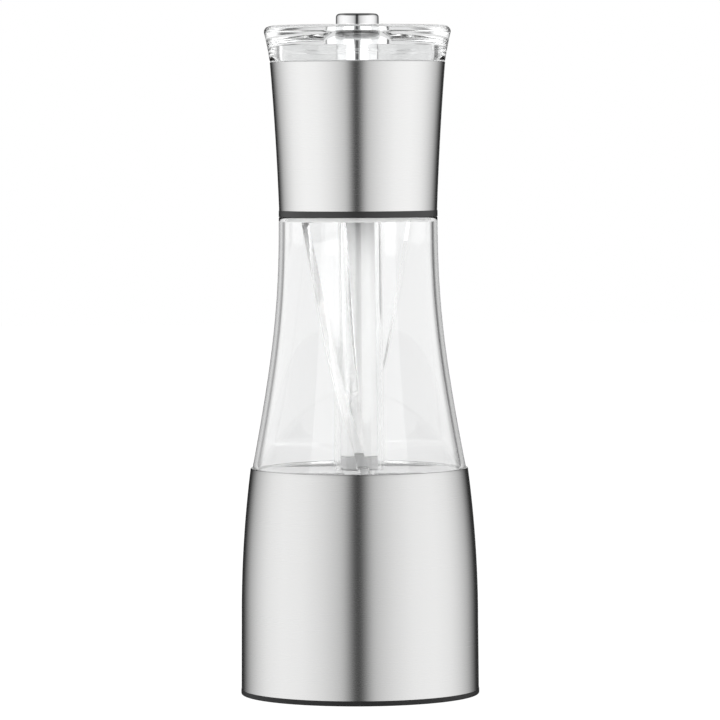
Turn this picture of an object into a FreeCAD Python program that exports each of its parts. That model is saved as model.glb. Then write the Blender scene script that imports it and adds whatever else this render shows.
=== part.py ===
"""Battery spice grinder with two chambers, modelled as the separate pieces it comes apart into.

It stands on a wide steel base that hides two grinders side by side. Above it a waisted clear
body is split into two chambers by a wall that winds round a clear tube, and the drive shaft
turns inside that tube. The steel head lifts off for filling: it holds the cells, the motor and
its gearbox. The clear lid lifts off the head for the cells, and the button stands in its middle.

Millimetres, +Z up, origin on the axis at the surface that the grinder stands on, front at -Y.
"""

import FreeCAD, Part
import math
import os

Vector = FreeCAD.Vector
UP = Vector(0, 0, 1)
ORIGIN = Vector(0, 0, 0)

# Clearances
seat_gap = 0.1  # between still pieces that fit in one another
bond_gap = 0.05  # glue line
run_gap = 0.05  # radial, between a shaft and its bush
turn_gap = 0.4  # between a turning piece and a still one
press_gap = 0.05  # between the button's rod and the switch
tip_cover = 0.4  # what is left over a screw's tip
overcut = 1.0  # how far a cut reaches past what it cuts
weld = 0.01  # overlap of two forms that become one
tiny = 1e-6

# Base: black cover with its rim, brushed skirt
rim_height = 1.6
rim_step = 0.1  # how far the rim stands out from the skirt
rim_width = 4.7
rim_round = 0.5
cover_lift = 1.0
cover_thickness = 2.0
cover_wall = 1.4
cover_wall_height = 5.0
skirt_height = 70.1
skirt_shoulder_height = 24.0
skirt_toe = 0.15  # how far the foot stands out from the shoulder
skirt_taper = 3.1  # how far the shoulder stands out from the top
skirt_wall = 0.5
skirt_lip = 0.25
skirt_swell = 0.783  # how far the skirt stands out from a straight cone at mid height

# Clear body
body_height = 79.2
body_waist_radius = 25.07
body_foot_lean = 0.19  # how far the flank leans in for each millimetre up, at its foot
body_foot_pull = 36.0  # how far up the foot's lean and the waist's upright run are felt
body_waist_pull = 26.4
body_wall = 1.8
body_spigot = 11.7
body_overhang = 0.55  # how far the body's foot stands out over the funnel body's wall
body_ledge = 1.0

# Divider and drive shaft
tube_bottom_radius = 8.0
tube_top_radius = 7.4
tube_wall = 1.2
vane_thickness = 3.0
vane_sections = 13
vane_bottom_angle = 4.0  # degrees from the front towards +X
vane_top_angle = -44.5
vane_top_drop = 0.3
vane_foot_gap = 0.05
shaft_bottom_radius = 5.9
shaft_top_radius = 5.1
shaft_bore_radius = 2.6
shaft_top_drop = 1.4
collar_height = 4.2
collar_wall = 0.75
collar_floor = 1.2
stub_radius = 2.5

# Head: collar ring, brushed sleeve, chassis
ring_height = 2.0
ring_round = 0.25
sleeve_step = 0.12  # how far the sleeve's foot stands back from the ring
sleeve_top_radius = 27.65
sleeve_draw = 0.28  # how far the flank is drawn in from a straight cone at mid height
sleeve_wall = 0.5
chassis_wall = 1.2
chassis_rib_thickness = 1.6
chassis_rib_start = 14.2
seal_depth = 1.4
seal_width = 2.6
seal_tongue = 1.0
seal_groove = 0.9

# Cells and contacts
cell_radius = 5.25
cell_length = 44.5
cell_nub_radius = 2.0
cell_nub_height = 1.0
cell_circle = 17.2
cell_count = 4
cell_first_angle = 45.0
bridge_angles = (90.0, 270.0)
bridge_reach = 8.0  # degrees past the middle of a cell
contact_height = 1.0
contact_strip = 0.4
contact_width = 5.0
contact_pad_radius = 3.0
terminal_width = 2.0
bridge_thickness = 0.4
cradle_wall = 1.0
cradle_height = 14.0
cradle_gap = 0.3

# Gearbox and motor
gear_pressure_angle = 25.0
gear_root_share = 1.25  # depth of a tooth's root for each module
gear_flank_steps = 4
sun_teeth = 12
planet_teeth = 18
fine_module = 0.4
planet_count = 3
planet_width = 4.0
planet_pin_radius = 0.8
planet_backlash = 0.06
carrier_radius = 8.7
carrier_thickness = 1.6
stage_gap = 0.25
gearbox_radius = 11.2
gearbox_cap_thickness = 1.6
lug_reach = 12.6
lug_radius = 1.9
gearbox_screw_length = 16.8
hub_radius = 3.4
hub_length = 3.6
dog_half_side = 2.2
dog_length = 6.0
motor_radius = 10.2
motor_flat = 7.8
motor_length = 19.4
motor_boss_radius = 3.0
motor_shaft_radius = 1.0
motor_terminal_reach = 6.0
motor_terminal_radius = 0.6
board_thickness = 1.2
board_radius = 11.2
board_ear_width = 5.0
switch_side = 6.0
switch_height = 2.4
switch_plunger_radius = 1.6
switch_stand = 1.6
lead_radius = 0.6
lead_rise = 2.4
lead_circle = 12.8
lead_angle = 20.0
lead_end_circle = 9.6
lead_bend = 1.1

# Lid and button
lid_height = 11.4
lid_plate = 5.9
lid_flare = 1.8  # how far the lid's edge stands out from the sleeve
lid_edge_round = 2.0
lid_flare_draw = 0.12  # how far its flank is drawn in at mid height
lid_spigot_gap = 0.65
lid_spigot_depth = 4.0
lid_spigot_wall = 2.4
lid_groove_depth = 0.8
lid_groove_width = 1.4
lid_plate_thickness = 1.2
lid_plate_rise = 0.5  # how far the plate stands above the sleeve
lid_boss_radius = 11.5
lid_boss_height = 0.6
button_radius = 6.75
button_wall = 0.6
button_stand = 3.8
button_round = 1.2
button_travel = 1.5
button_flange = 1.05
button_flange_thickness = 1.0
button_hole_gap = 0.2
lid_hole_gap = 0.4
cup_wall = 1.0
cup_floor = 0.8
cup_room = 0.9
rod_radius = 1.7
rod_head_thickness = 0.9
rod_head_height = 6.0
button_spring_radius = 4.2
button_spring_wire = 0.25
button_spring_turns = 9

# Grinders and their gears
grinder_spread = 0.5  # what is left between a grinder's cup and the web between them
drive_teeth = 16
side_teeth = 38
drive_backlash = 0.08
drive_gear_width = 5.0
tray_height = 10.2
tray_wall = 1.0
tray_floor = 1.2
gear_lift = 1.8
floor_thickness = 2.4
floor_drop = 0.8
floor_opening_edge = 2.0
floor_opening_web = 4.6
floor_opening_start = 15.6
clutch_radius = 4.5
clutch_shell = 0.6
clutch_rollers = 6
spindle_radius = 2.5
spindle_square = 3.4
spindle_thread_radius = 1.7
spindle_rise = 1.0
funnel_wall = 1.6
funnel_room = 0.7  # what is left between a grinder's cup and the funnel body's wall
funnel_web = 2.0
funnel_mouth_step = 5.2
funnel_throat_step = 0.2
funnel_throat_height = 1.4
funnel_cone_height = 32.0
funnel_flange = 1.6
burr_ring_height = 15.0
burr_ring_wall = 1.95
burr_ring_flare = 0.45
burr_gap = 0.45
burr_cone_height = 15.5
burr_bottom_radius = 11.3
burr_top_radius = 6.2
burr_ridge = 1.1
burr_ridges = 12
ridge_lean = 0.72  # share of a ridge's pitch that its long side takes
burr_twist = 14.0
burr_ring_teeth = 16
burr_ring_tooth = 0.9
burr_lift = 2.3
burr_spring_turns = 5
burr_spring_wire = 0.35
burr_spring_radius = 3.6
burr_spring_height = 7.0
spring_seat_thickness = 0.8
spring_seat_radius = 4.4
adjuster_radius = 6.2
adjuster_ribs = 10
adjuster_rib_radius = 0.7
adjuster_lift = 0.9
outlet_shoulder = 1.7
spring_flats = 16

# Screws
screw_radius = 1.1
screw_head_radius = 2.0
screw_head_height = 1.3
screw_length = 6.0
screw_slot_length = 2.4
screw_slot_width = 0.66
cover_screw_inset = 7.3
cover_screw_angles = (60, 120, 240, 300)
tray_screw_reach = 6.6
tray_screw_side = 12.4
board_screw_circle = 15.4
cup_screw_reach = 10.6
boss_radius = 2.6

# Radii of the head and the lid
sleeve_bottom_radius = body_waist_radius - sleeve_step
lid_spigot_radius = sleeve_top_radius - sleeve_wall - lid_spigot_gap
lid_edge_radius = sleeve_top_radius + lid_flare

# Radii of the base, from the grinding cones outwards
burr_ring_throat = burr_bottom_radius + burr_gap + burr_ring_flare
burr_ring_radius = burr_bottom_radius + burr_gap + burr_ring_tooth + burr_ring_wall
outlet_radius = burr_ring_radius - outlet_shoulder
grinder_offset = burr_ring_radius + seat_gap + funnel_web / 2 + grinder_spread
funnel_radius = grinder_offset + burr_ring_radius + seat_gap + funnel_wall + funnel_room
funnel_mouth_radius = funnel_radius - funnel_mouth_step
funnel_throat_radius = burr_ring_throat + funnel_throat_step
body_bottom_radius = funnel_radius + body_overhang
skirt_top_radius = body_bottom_radius + seat_gap + skirt_wall
skirt_shoulder_radius = skirt_top_radius + skirt_taper
skirt_bottom_radius = skirt_shoulder_radius + skirt_toe
rim_radius = skirt_bottom_radius + rim_step
rim_inner_radius = rim_radius - rim_width

# Heights where one piece meets the next
z_skirt_bottom = rim_height
z_skirt_top = z_skirt_bottom + skirt_height
z_body_top = z_skirt_top + body_height
z_ring_top = z_body_top + ring_height
z_cells = z_ring_top + contact_height
z_cells_top = z_cells + cell_length
z_lid_plate_bottom = z_cells_top + bridge_thickness + 2 * seat_gap
z_lid_plate_top = z_lid_plate_bottom + lid_plate_thickness
z_sleeve_top = z_lid_plate_top - lid_plate_rise
z_lid_bottom = z_sleeve_top + seat_gap
z_lid_spigot = z_sleeve_top - lid_spigot_depth
z_lid_groove = (z_lid_spigot + z_lid_bottom - lid_groove_width) / 2
z_lid_top = z_sleeve_top + lid_height
z_lid_ceiling = z_lid_top - lid_plate
z_button_top = z_lid_top + button_stand
z_button_flange = z_lid_plate_bottom - seat_gap - button_flange_thickness
z_cup_floor = z_button_flange - button_travel - cup_room
z_switch_top = z_cup_floor - cup_floor - seat_gap
z_board_top = z_switch_top - switch_stand - switch_height
z_board = z_board_top - board_thickness
z_floor_top = z_skirt_top - floor_drop
z_floor = z_floor_top - floor_thickness
z_tray = z_floor - tray_height
z_gears = z_tray + tray_floor + gear_lift
z_body_bottom = z_skirt_top - body_spigot
z_cover_top = cover_lift + cover_thickness
z_burr_ring = z_cover_top + seat_gap
z_burr_cone = z_burr_ring + burr_lift
z_collar = z_floor_top + seat_gap
z_shaft = z_collar + collar_floor + seat_gap
z_shaft_top = z_body_top - shaft_top_drop
z_gearbox = z_ring_top + gearbox_cap_thickness
z_output_planets = z_gearbox + stage_gap + carrier_thickness + stage_gap
z_stage_disc = z_output_planets + planet_width + stage_gap
z_input_planets = z_stage_disc + carrier_thickness + stage_gap
z_gearbox_top = z_input_planets + planet_width + stage_gap
z_motor = z_gearbox_top + seat_gap
z_motor_top = z_motor + motor_length
z_hub_bottom = z_gearbox + stage_gap - hub_length
z_dog_bottom = z_hub_bottom - dog_length
z_seal = z_body_top - seal_depth
z_chassis_top = z_lid_spigot - turn_gap
z_adjuster_top = z_burr_cone - seat_gap
z_spring_seat = z_burr_cone + burr_cone_height + burr_spring_height
planet_orbit = fine_module * (sun_teeth + planet_teeth) / 2
ring_teeth = sun_teeth + 2 * planet_teeth
drive_module = 2 * grinder_offset / (drive_teeth + side_teeth)


def at(radius, angle, height=0.0):
    """The point at that radius and angle in degrees from +X."""
    turn = math.radians(angle)
    return Vector(radius * math.cos(turn), radius * math.sin(turn), height)


def disc(radius, low, high, centre=ORIGIN):
    """A solid cylinder from one height to another."""
    return Part.makeCylinder(radius, high - low, Vector(centre.x, centre.y, low))


def pipe(outer, inner, low, high, centre=ORIGIN):
    """A straight tube from one height to another."""
    return disc(outer, low, high, centre).cut(disc(inner, low - overcut, high + overcut, centre))


def block(x_size, y_size, low, high, centre=ORIGIN):
    """An upright box centred on a point."""
    corner = Vector(centre.x - x_size / 2, centre.y - y_size / 2, low)
    return Part.makeBox(x_size, y_size, high - low, corner)


def turned(path):
    """A solid turned about Z from a closed path of (radius, height) points. Two points in one
    step are an arc's middle and end, and three are a curve's two poles and end."""
    edges = []
    here = Vector(path[0][0], 0, path[0][1])
    for step in path[1:] + path[:1]:
        points = step if isinstance(step[0], tuple) else (step,)
        corners = [Vector(radius, 0, height) for radius, height in points]
        if len(corners) == 1:
            if (corners[0] - here).Length > tiny:
                edges.append(Part.LineSegment(here, corners[0]).toShape())
        elif len(corners) == 2:
            edges.append(Part.Arc(here, *corners).toShape())
        else:
            curve = Part.BezierCurve()
            curve.setPoles([here, *corners])
            edges.append(curve.toShape())
        here = corners[-1]
    return Part.Face(Part.Wire(edges)).revolve(ORIGIN, UP, 360)


def bowed(low, high, swell):
    """The flank of a turned piece as a function: an arc between two (radius, height) points,
    standing out by swell at mid height."""
    run, rise = high[0] - low[0], high[1] - low[1]
    chord = math.hypot(run, rise)
    radius = (chord * chord / 4 + swell * swell) / (2 * abs(swell))
    side = math.copysign(1.0, swell)
    normal = (side * rise / chord, -side * run / chord)
    inward = radius - abs(swell)
    centre = (
        (low[0] + high[0]) / 2 - normal[0] * inward,
        (low[1] + high[1]) / 2 - normal[1] * inward,
    )

    def radius_at(height):
        return centre[0] + side * math.sqrt(radius**2 - (height - centre[1]) ** 2)

    return radius_at


def flank(radius_at, low, high, inset=0.0):
    """The arc step of a path from one height to another, along a bowed flank moved inwards."""
    middle = (low + high) / 2
    return ((radius_at(middle) - inset, middle), (radius_at(high) - inset, high))


def round_over(edge, top, radius):
    """The arc step of a path round a top corner, from upright to flat."""
    corner = radius * (1 - math.sqrt(0.5))
    return ((edge - corner, top - corner), (edge - radius, top))


def round_under(edge, bottom, radius):
    """The arc step of a path round a bottom corner, from flat to upright."""
    corner = radius * (1 - math.sqrt(0.5))
    return ((edge - corner, bottom + corner), (edge, bottom + radius))


def joined(first, *others):
    """Solids fused into one piece."""
    return first.multiFuse(list(others)).removeSplitter()


def gear_outline(teeth, module, addendum, dedendum, thinning, phase):
    """A closed wire of involute teeth; thinning is taken off each tooth at the pitch circle."""
    pitch = module * teeth / 2
    pressure = math.radians(gear_pressure_angle)
    base = pitch * math.cos(pressure)
    tip, root = pitch + addendum, pitch - dedendum
    half = math.pi / (2 * teeth) - thinning / (2 * pitch)
    at_pitch = math.tan(pressure) - pressure
    start = max(base, root)
    flank_points = []
    for step in range(gear_flank_steps + 1):
        radius = start + (tip - start) * step / gear_flank_steps
        local = math.acos(min(1.0, base / radius))
        flank_points.append((radius, half + at_pitch - math.tan(local) + local))
    points = []
    if root < base:
        flank_points.insert(0, (root, flank_points[0][1]))
    for tooth in range(teeth):
        middle = math.radians(phase) + 2 * math.pi * tooth / teeth
        points += [(radius, middle - turn) for radius, turn in flank_points]
        points += [(radius, middle + turn) for radius, turn in reversed(flank_points)]
    corners = [Vector(r * math.cos(t), r * math.sin(t), 0) for r, t in points]
    return Part.makePolygon(corners + corners[:1])


def gear(teeth, module, low, high, thinning, phase=0.0, centre=ORIGIN):
    """An external spur gear."""
    outline = gear_outline(teeth, module, module, gear_root_share * module, thinning, phase)
    outline.translate(Vector(centre.x, centre.y, low))
    return Part.Face(outline).extrude(UP * (high - low))


def meshing_phase(own_teeth, other_teeth, other_phase, direction):
    """The phase, in degrees, that puts a gear in mesh with another that lies the other way
    along direction."""
    position = other_teeth * (other_phase - direction) / 360
    return direction + 180 - 360 / own_teeth * (position - 0.5)


def ring_phase(planet_phase, direction):
    """The phase of the ring's tooth spaces round a planet in that direction."""
    return direction + planet_teeth / ring_teeth * (planet_phase - direction)


def coil(radius, wire, low, high, turns, centre=ORIGIN):
    """A coil spring that stands from one height to another. Its wire has many flats, which add
    up to the section of the round wire."""
    rise = high - low - 2 * wire
    flat = 2 * math.pi / spring_flats
    reach = wire * math.sqrt(flat / math.sin(flat))
    corners = [
        Vector(radius + reach * math.cos(flat * index), 0, reach * math.sin(flat * index))
        for index in range(spring_flats)
    ]
    section = Part.makePolygon(corners + corners[:1])
    helix = Part.makeHelix(rise / turns, rise, radius)
    spring = Part.Wire(helix.Edges).makePipeShell([section], True, True)
    spring.translate(Vector(centre.x, centre.y, low + wire))
    return spring


def star(outer, inner, points, height, turn, centre=ORIGIN):
    """A closed wire of ridges for the grinding teeth, each leaning one way."""
    corners = []
    for index in range(points):
        ridge = turn + 360 * index / points
        corners.append(centre + at(outer, ridge, height))
        corners.append(centre + at(inner, ridge + 360 / points * ridge_lean, height))
    return Part.makePolygon(corners + corners[:1])


def screws(places, seat, down, length=screw_length):
    """Pan-head screws whose heads seat at one height, driven down or up."""
    made = []
    for place in places:
        if down:
            head_low, head_high = seat, seat + screw_head_height
            tip_low, tip_high = seat - length, seat
            slot_low, slot_high = seat + screw_head_height / 2, seat + 2 * screw_head_height
        else:
            head_low, head_high = seat - screw_head_height, seat
            tip_low, tip_high = seat, seat + length
            slot_low, slot_high = seat - 2 * screw_head_height, seat - screw_head_height / 2
        head = disc(screw_head_radius, head_low, head_high, place)
        shank = disc(screw_radius, tip_low, tip_high, place)
        bar = block(screw_slot_length, screw_slot_width, slot_low, slot_high, place)
        cross = block(screw_slot_width, screw_slot_length, slot_low, slot_high, place)
        made.append(joined(head, shank).cut(bar).cut(cross))
    return made


def screw_holes(places, seat, down, length=screw_length):
    """What is cut for such screws: a clearance hole and a recess for the head."""
    made = []
    for place in places:
        if down:
            made.append(disc(screw_radius + bond_gap, seat - length - seat_gap, seat + overcut, place))
            made.append(disc(screw_head_radius + seat_gap, seat, seat + 3 * screw_head_height, place))
        else:
            made.append(disc(screw_radius + bond_gap, seat - overcut, seat + length + seat_gap, place))
            made.append(disc(screw_head_radius + seat_gap, seat - 3 * screw_head_height, seat, place))
    return made


def cut_all(body, tools):
    """The body with each tool taken out of it."""
    for tool in tools:
        body = body.cut(tool)
    return body


def ring_sector(outer, inner, low, high, start, end):
    """A flat strip bent round the axis between two angles."""
    corners = [
        Vector(inner, 0, low),
        Vector(outer, 0, low),
        Vector(outer, 0, high),
        Vector(inner, 0, high),
    ]
    profile = Part.Face(Part.makePolygon(corners + corners[:1]))
    profile.rotate(ORIGIN, UP, start)
    return profile.revolve(ORIGIN, UP, end - start)


def run_of_wire(points, radius, bend):
    """A round wire along straight runs joined by tangent arcs."""
    edges = []
    here = points[0]
    for index in range(1, len(points) - 1):
        corner = points[index]
        into = (corner - points[index - 1]).normalize()
        out = (points[index + 1] - corner).normalize()
        half_turn = into.getAngle(out) / 2
        reach = bend * math.tan(half_turn)
        start, end = corner - into * reach, corner + out * reach
        towards = (out - into).normalize()
        middle = corner + towards * (bend / math.cos(half_turn) - bend)
        edges.append(Part.LineSegment(here, start).toShape())
        edges.append(Part.Arc(start, middle, end).toShape())
        here = end
    edges.append(Part.LineSegment(here, points[-1]).toShape())
    path = Part.Wire(edges)
    section = Part.Wire(Part.makeCircle(radius, points[0], points[1] - points[0]))
    return path.makePipeShell([section], True, False)


# Flanks that more than one piece follows
skirt_flank = bowed(
    (skirt_shoulder_radius, skirt_shoulder_height), (skirt_top_radius, z_skirt_top), skirt_swell
)
mouth_radius = body_waist_radius - body_wall
seal_middle = mouth_radius - seat_gap - seal_width / 2
sleeve_flank = bowed((sleeve_bottom_radius, z_ring_top), (sleeve_top_radius, z_sleeve_top), -sleeve_draw)
grinder_sides = {"left": Vector(-grinder_offset, 0, 0), "right": Vector(grinder_offset, 0, 0)}
planet_angles = [90 + 360 * index / planet_count for index in range(planet_count)]
planet_phases = [meshing_phase(planet_teeth, sun_teeth, 0.0, angle) for angle in planet_angles]
cell_places = [
    at(cell_circle, cell_first_angle + 360 * index / cell_count) for index in range(cell_count)
]
board_ear_angles = (90.0, 270.0)
bridged_angles = (135.0, 225.0)


def base_skirt():
    """Drawn steel skirt, upright at the foot and drawn in above, its lip rolled over."""
    inner_shoulder = skirt_shoulder_radius - skirt_wall
    inside = (skirt_flank(z_skirt_top) - skirt_wall, z_skirt_top - skirt_lip)
    middle = (z_skirt_top + skirt_shoulder_height) / 2
    return turned(
        [
            (skirt_bottom_radius - skirt_wall, z_skirt_bottom),
            (skirt_bottom_radius, z_skirt_bottom),
            (skirt_shoulder_radius, skirt_shoulder_height),
            flank(skirt_flank, skirt_shoulder_height, z_skirt_top - skirt_lip),
            ((skirt_top_radius - skirt_wall / 2, z_skirt_top), inside),
            ((skirt_flank(middle) - skirt_wall, middle), (inner_shoulder, skirt_shoulder_height)),
        ]
    )


def base_cover():
    """Black moulding under the base: the rim that shows, a wall inside the skirt, two outlets."""
    wall_outer = skirt_bottom_radius - skirt_wall - 2 * seat_gap
    wall_inner = wall_outer - cover_wall
    body = turned(
        [
            (0, cover_lift),
            (rim_inner_radius, cover_lift),
            (rim_inner_radius, 0),
            (rim_radius - rim_round, 0),
            round_under(rim_radius, 0, rim_round),
            (rim_radius, rim_height),
            (wall_outer, rim_height),
            (wall_outer, rim_height + cover_wall_height),
            (wall_inner, rim_height + cover_wall_height),
            (wall_inner, z_cover_top),
            (0, z_cover_top),
        ]
    )
    for place in grinder_sides.values():
        body = body.cut(disc(outlet_radius, 0, z_cover_top + overcut, place))
    for place in cover_screw_places():
        body = body.cut(disc(screw_radius + seat_gap, 0, z_cover_top + overcut, place))
        body = body.cut(disc(screw_head_radius + seat_gap, 0, cover_screw_seat(), place))
    return body


def cover_screw_places():
    """Where the screws go up through the cover into the funnel body's bosses."""
    return [at(skirt_bottom_radius - cover_screw_inset, angle) for angle in cover_screw_angles]


def cover_screw_seat():
    """The height at which the cover's screw heads seat."""
    return cover_lift + cover_thickness / 2


def base_screws():
    """Four screws up through the cover."""
    return Part.makeCompound(screws(cover_screw_places(), cover_screw_seat(), down=False))


def funnel_half(sign):
    """One funnel, above one grinder, as its outer form and its hollow."""
    place = Vector(sign * grinder_offset, 0, 0)
    z_throat = z_burr_ring + burr_ring_height + seat_gap
    z_cone = z_throat + funnel_throat_height
    z_mouth = z_cone + funnel_cone_height
    low = Vector(place.x, 0, z_cone)
    outer_cone = Part.makeCone(
        funnel_throat_radius + funnel_wall, funnel_mouth_radius + funnel_wall, funnel_cone_height, low
    )
    inner_cone = Part.makeCone(funnel_throat_radius, funnel_mouth_radius, funnel_cone_height, low)
    cup = disc(burr_ring_radius + seat_gap + funnel_wall, z_burr_ring, z_cone, place)
    outer = joined(outer_cone, cup)
    open_above = disc(funnel_mouth_radius, z_mouth - weld, z_body_bottom + overcut, place)
    hollow = joined(
        inner_cone,
        disc(funnel_throat_radius, z_throat - overcut, z_cone + weld, place),
        disc(burr_ring_radius + seat_gap, z_burr_ring - overcut, z_throat, place),
        open_above,
    )
    side = Part.makeBox(
        funnel_radius, 2 * funnel_radius, z_body_bottom + 2 * overcut, Vector(0, -funnel_radius, 0)
    )
    keep = side.copy()
    keep.translate(Vector(funnel_web / 2, 0, 0))
    if sign < 0:
        side.translate(Vector(-funnel_radius, 0, 0))
        keep.translate(Vector(-funnel_web - funnel_radius, 0, 0))
    inner_round = disc(funnel_radius - funnel_wall, 0, z_body_bottom + 2 * overcut)
    outer_round = disc(funnel_radius, 0, z_body_bottom)
    return outer.common(side).common(outer_round), hollow.common(keep).common(inner_round)


def funnel_body():
    """White moulding inside the skirt: two funnels with a web between them, cups for the burr
    rings, flanges that centre the skirt, and a wall that carries the clear body."""
    z_top = z_body_bottom - seat_gap
    wall = pipe(funnel_radius, funnel_radius - funnel_wall, z_burr_ring, z_top)
    web = block(funnel_web, 2 * (funnel_radius - funnel_wall / 2), z_burr_ring, z_tray - seat_gap)
    reach = body_bottom_radius - body_wall - body_ledge - 2 * seat_gap
    start = tray_half_width() + seat_gap
    fins = [
        block(
            funnel_web,
            reach - start,
            z_tray - seat_gap - 1,
            z_floor - seat_gap,
            Vector(0, side * (reach + start) / 2, 0),
        )
        for side in (-1, 1)
    ]
    low_flange_z = rim_height + cover_wall_height + seat_gap
    low_flange = pipe(
        skirt_shoulder_radius - skirt_wall - 2 * seat_gap,
        funnel_radius - funnel_wall / 2,
        low_flange_z,
        low_flange_z + funnel_flange,
    )
    high_flange = pipe(
        skirt_flank(z_top) - skirt_wall - 2 * seat_gap,
        funnel_radius - funnel_wall / 2,
        z_top - funnel_flange,
        z_top,
    )
    halves = [funnel_half(sign) for sign in (-1, 1)]
    bosses = [
        disc(boss_radius, z_cover_top + seat_gap, z_cover_top + screw_length + funnel_wall, place)
        for place in cover_screw_places()
    ]
    body = joined(wall, web, low_flange, high_flange, *fins, *bosses, *[outer for outer, _ in halves])
    body = body.common(disc(skirt_shoulder_radius, 0, z_skirt_top))
    for _, hollow in halves:
        body = body.cut(hollow)
    for place in cover_screw_places():
        body = body.cut(disc(screw_radius + bond_gap, 0, z_cover_top + screw_length + seat_gap, place))
    return body


def floor_openings(low, high):
    """The four openings in the chamber floor, two to each chamber."""
    limit = body_bottom_radius - body_wall - floor_opening_edge
    made = []
    for x_side in (-1, 1):
        for y_side in (-1, 1):
            opening = Part.makeBox(
                limit, limit, high - low, Vector(floor_opening_web, floor_opening_start, low)
            )
            opening = opening.common(disc(limit, low, high))
            if x_side < 0:
                opening = opening.mirror(ORIGIN, Vector(1, 0, 0))
            if y_side < 0:
                opening = opening.mirror(ORIGIN, Vector(0, 1, 0))
            made.append(opening)
    return made


def hopper_floor():
    """Pale floor of the chambers, with a bush for the drive and four openings."""
    body = disc(body_bottom_radius - body_wall - seat_gap, z_floor, z_floor_top)
    body = body.cut(disc(stub_radius + run_gap, z_floor - overcut, z_floor_top + overcut))
    for opening in floor_openings(z_floor - overcut, z_floor_top + overcut):
        body = body.cut(opening)
    return cut_all(body, screw_holes(tray_screw_places(), tray_screw_seat(), down=False))


def tray_half_width():
    """Half the gear tray's width: the side gear's tip, its gap and the tray's wall."""
    tip = drive_module * (side_teeth / 2 + 1)
    return tip + turn_gap + tray_wall


def long_round(half_width, low, high):
    """An upright block with round ends centred on the two grinders."""
    ends = [disc(half_width, low, high, place) for place in grinder_sides.values()]
    return joined(block(2 * grinder_offset, 2 * half_width, low, high), *ends)


def tray_screw_places():
    """Where the screws hold the gear tray under the chamber floor, outside the gears."""
    sides = (-1, 1)
    return [Vector(x * tray_screw_reach, y * tray_screw_side, 0) for x in sides for y in sides]


def tray_screw_seat():
    """The height at which the tray's screw heads seat, deep in the tray's bosses."""
    return z_floor_top - tip_cover - screw_length


def gear_tray():
    """Black tray hung under the chamber floor, which keeps spice off the gears."""
    z_top = z_floor - seat_gap
    body = long_round(tray_half_width(), z_tray, z_top)
    tip = drive_module * (side_teeth / 2 + 1) + turn_gap
    room = [disc(tip, z_tray + tray_floor, z_floor + overcut, place) for place in grinder_sides.values()]
    drive_tip = drive_module * (drive_teeth / 2 + 1) + turn_gap
    room.append(disc(drive_tip, z_tray + tray_floor, z_floor + overcut))
    body = cut_all(body, room)
    body = cut_all(
        body,
        [
            disc(spindle_radius + run_gap, z_tray - overcut, z_tray + tray_floor + 1, place)
            for place in grinder_sides.values()
        ],
    )
    bush = pipe(stub_radius + tray_wall, stub_radius + run_gap, z_tray, z_gears - turn_gap)
    return cut_all(body.fuse(bush), screw_holes(tray_screw_places(), tray_screw_seat(), down=False))


def tray_screws():
    """Four screws up through the tray into the chamber floor."""
    return Part.makeCompound(screws(tray_screw_places(), tray_screw_seat(), down=False))


def body_curve(inset=0.0):
    """The step of a path up the clear body's flank, moved inwards, from foot to waist."""
    foot = body_bottom_radius - inset
    waist = body_waist_radius - inset
    return (
        (foot - body_foot_lean * body_foot_pull, z_skirt_top + body_foot_pull),
        (waist, z_body_top - body_waist_pull),
        (waist, z_body_top),
    )


def chamber(gap=0.0):
    """The whole hollow of the clear body as a solid, or the room that a gap leaves in it."""
    inset = body_wall + gap
    return turned(
        [
            (0, z_floor),
            (body_bottom_radius - inset, z_floor),
            (body_bottom_radius - inset, z_skirt_top),
            body_curve(inset),
            (0, z_body_top),
        ]
    )


def clear_body():
    """Clear waisted body: its foot stands on the funnel body's wall, inside the skirt, and a
    ledge in it carries the chamber floor."""
    inner = body_bottom_radius - body_wall
    ledge = inner - body_ledge
    outside = turned(
        [
            (ledge, z_body_bottom),
            (body_bottom_radius, z_body_bottom),
            (body_bottom_radius, z_skirt_top),
            body_curve(),
            (0, z_body_top),
            (0, z_floor),
            (ledge, z_floor),
        ]
    )
    return outside.cut(chamber())


def vane():
    """The wall that splits the chamber, a flat wall twisted on its way up."""
    low = z_floor_top + vane_foot_gap
    high = z_body_top - vane_top_drop
    reach = 2 * body_bottom_radius
    wires = []
    for index in range(vane_sections):
        share = index / (vane_sections - 1)
        turn = vane_bottom_angle + (vane_top_angle - vane_bottom_angle) * share
        height = low + (high - low) * share
        corners = [
            Vector(-vane_thickness / 2, -reach / 2, height),
            Vector(vane_thickness / 2, -reach / 2, height),
            Vector(vane_thickness / 2, reach / 2, height),
            Vector(-vane_thickness / 2, reach / 2, height),
        ]
        wire = Part.makePolygon(corners + corners[:1])
        wire.rotate(ORIGIN, UP, turn)
        wires.append(wire)
    return Part.makeLoft(wires, True, False)


def divider():
    """Clear wall and tube in one: the wall is cut to the body's inside and meets the tube."""
    low = z_floor_top + vane_foot_gap
    high = z_body_top - vane_top_drop
    notch = pipe(
        body_waist_radius, mouth_radius - seal_width - 2 * seat_gap, z_seal - seat_gap, z_body_top
    )
    tube = Part.makeCone(tube_bottom_radius, tube_top_radius, high - low, Vector(0, 0, low))
    hollow = Part.makeCone(
        tube_bottom_radius - tube_wall, tube_top_radius - tube_wall, high - low, Vector(0, 0, low)
    )
    return vane().common(chamber(seat_gap)).cut(notch).fuse(tube).cut(hollow)


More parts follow.
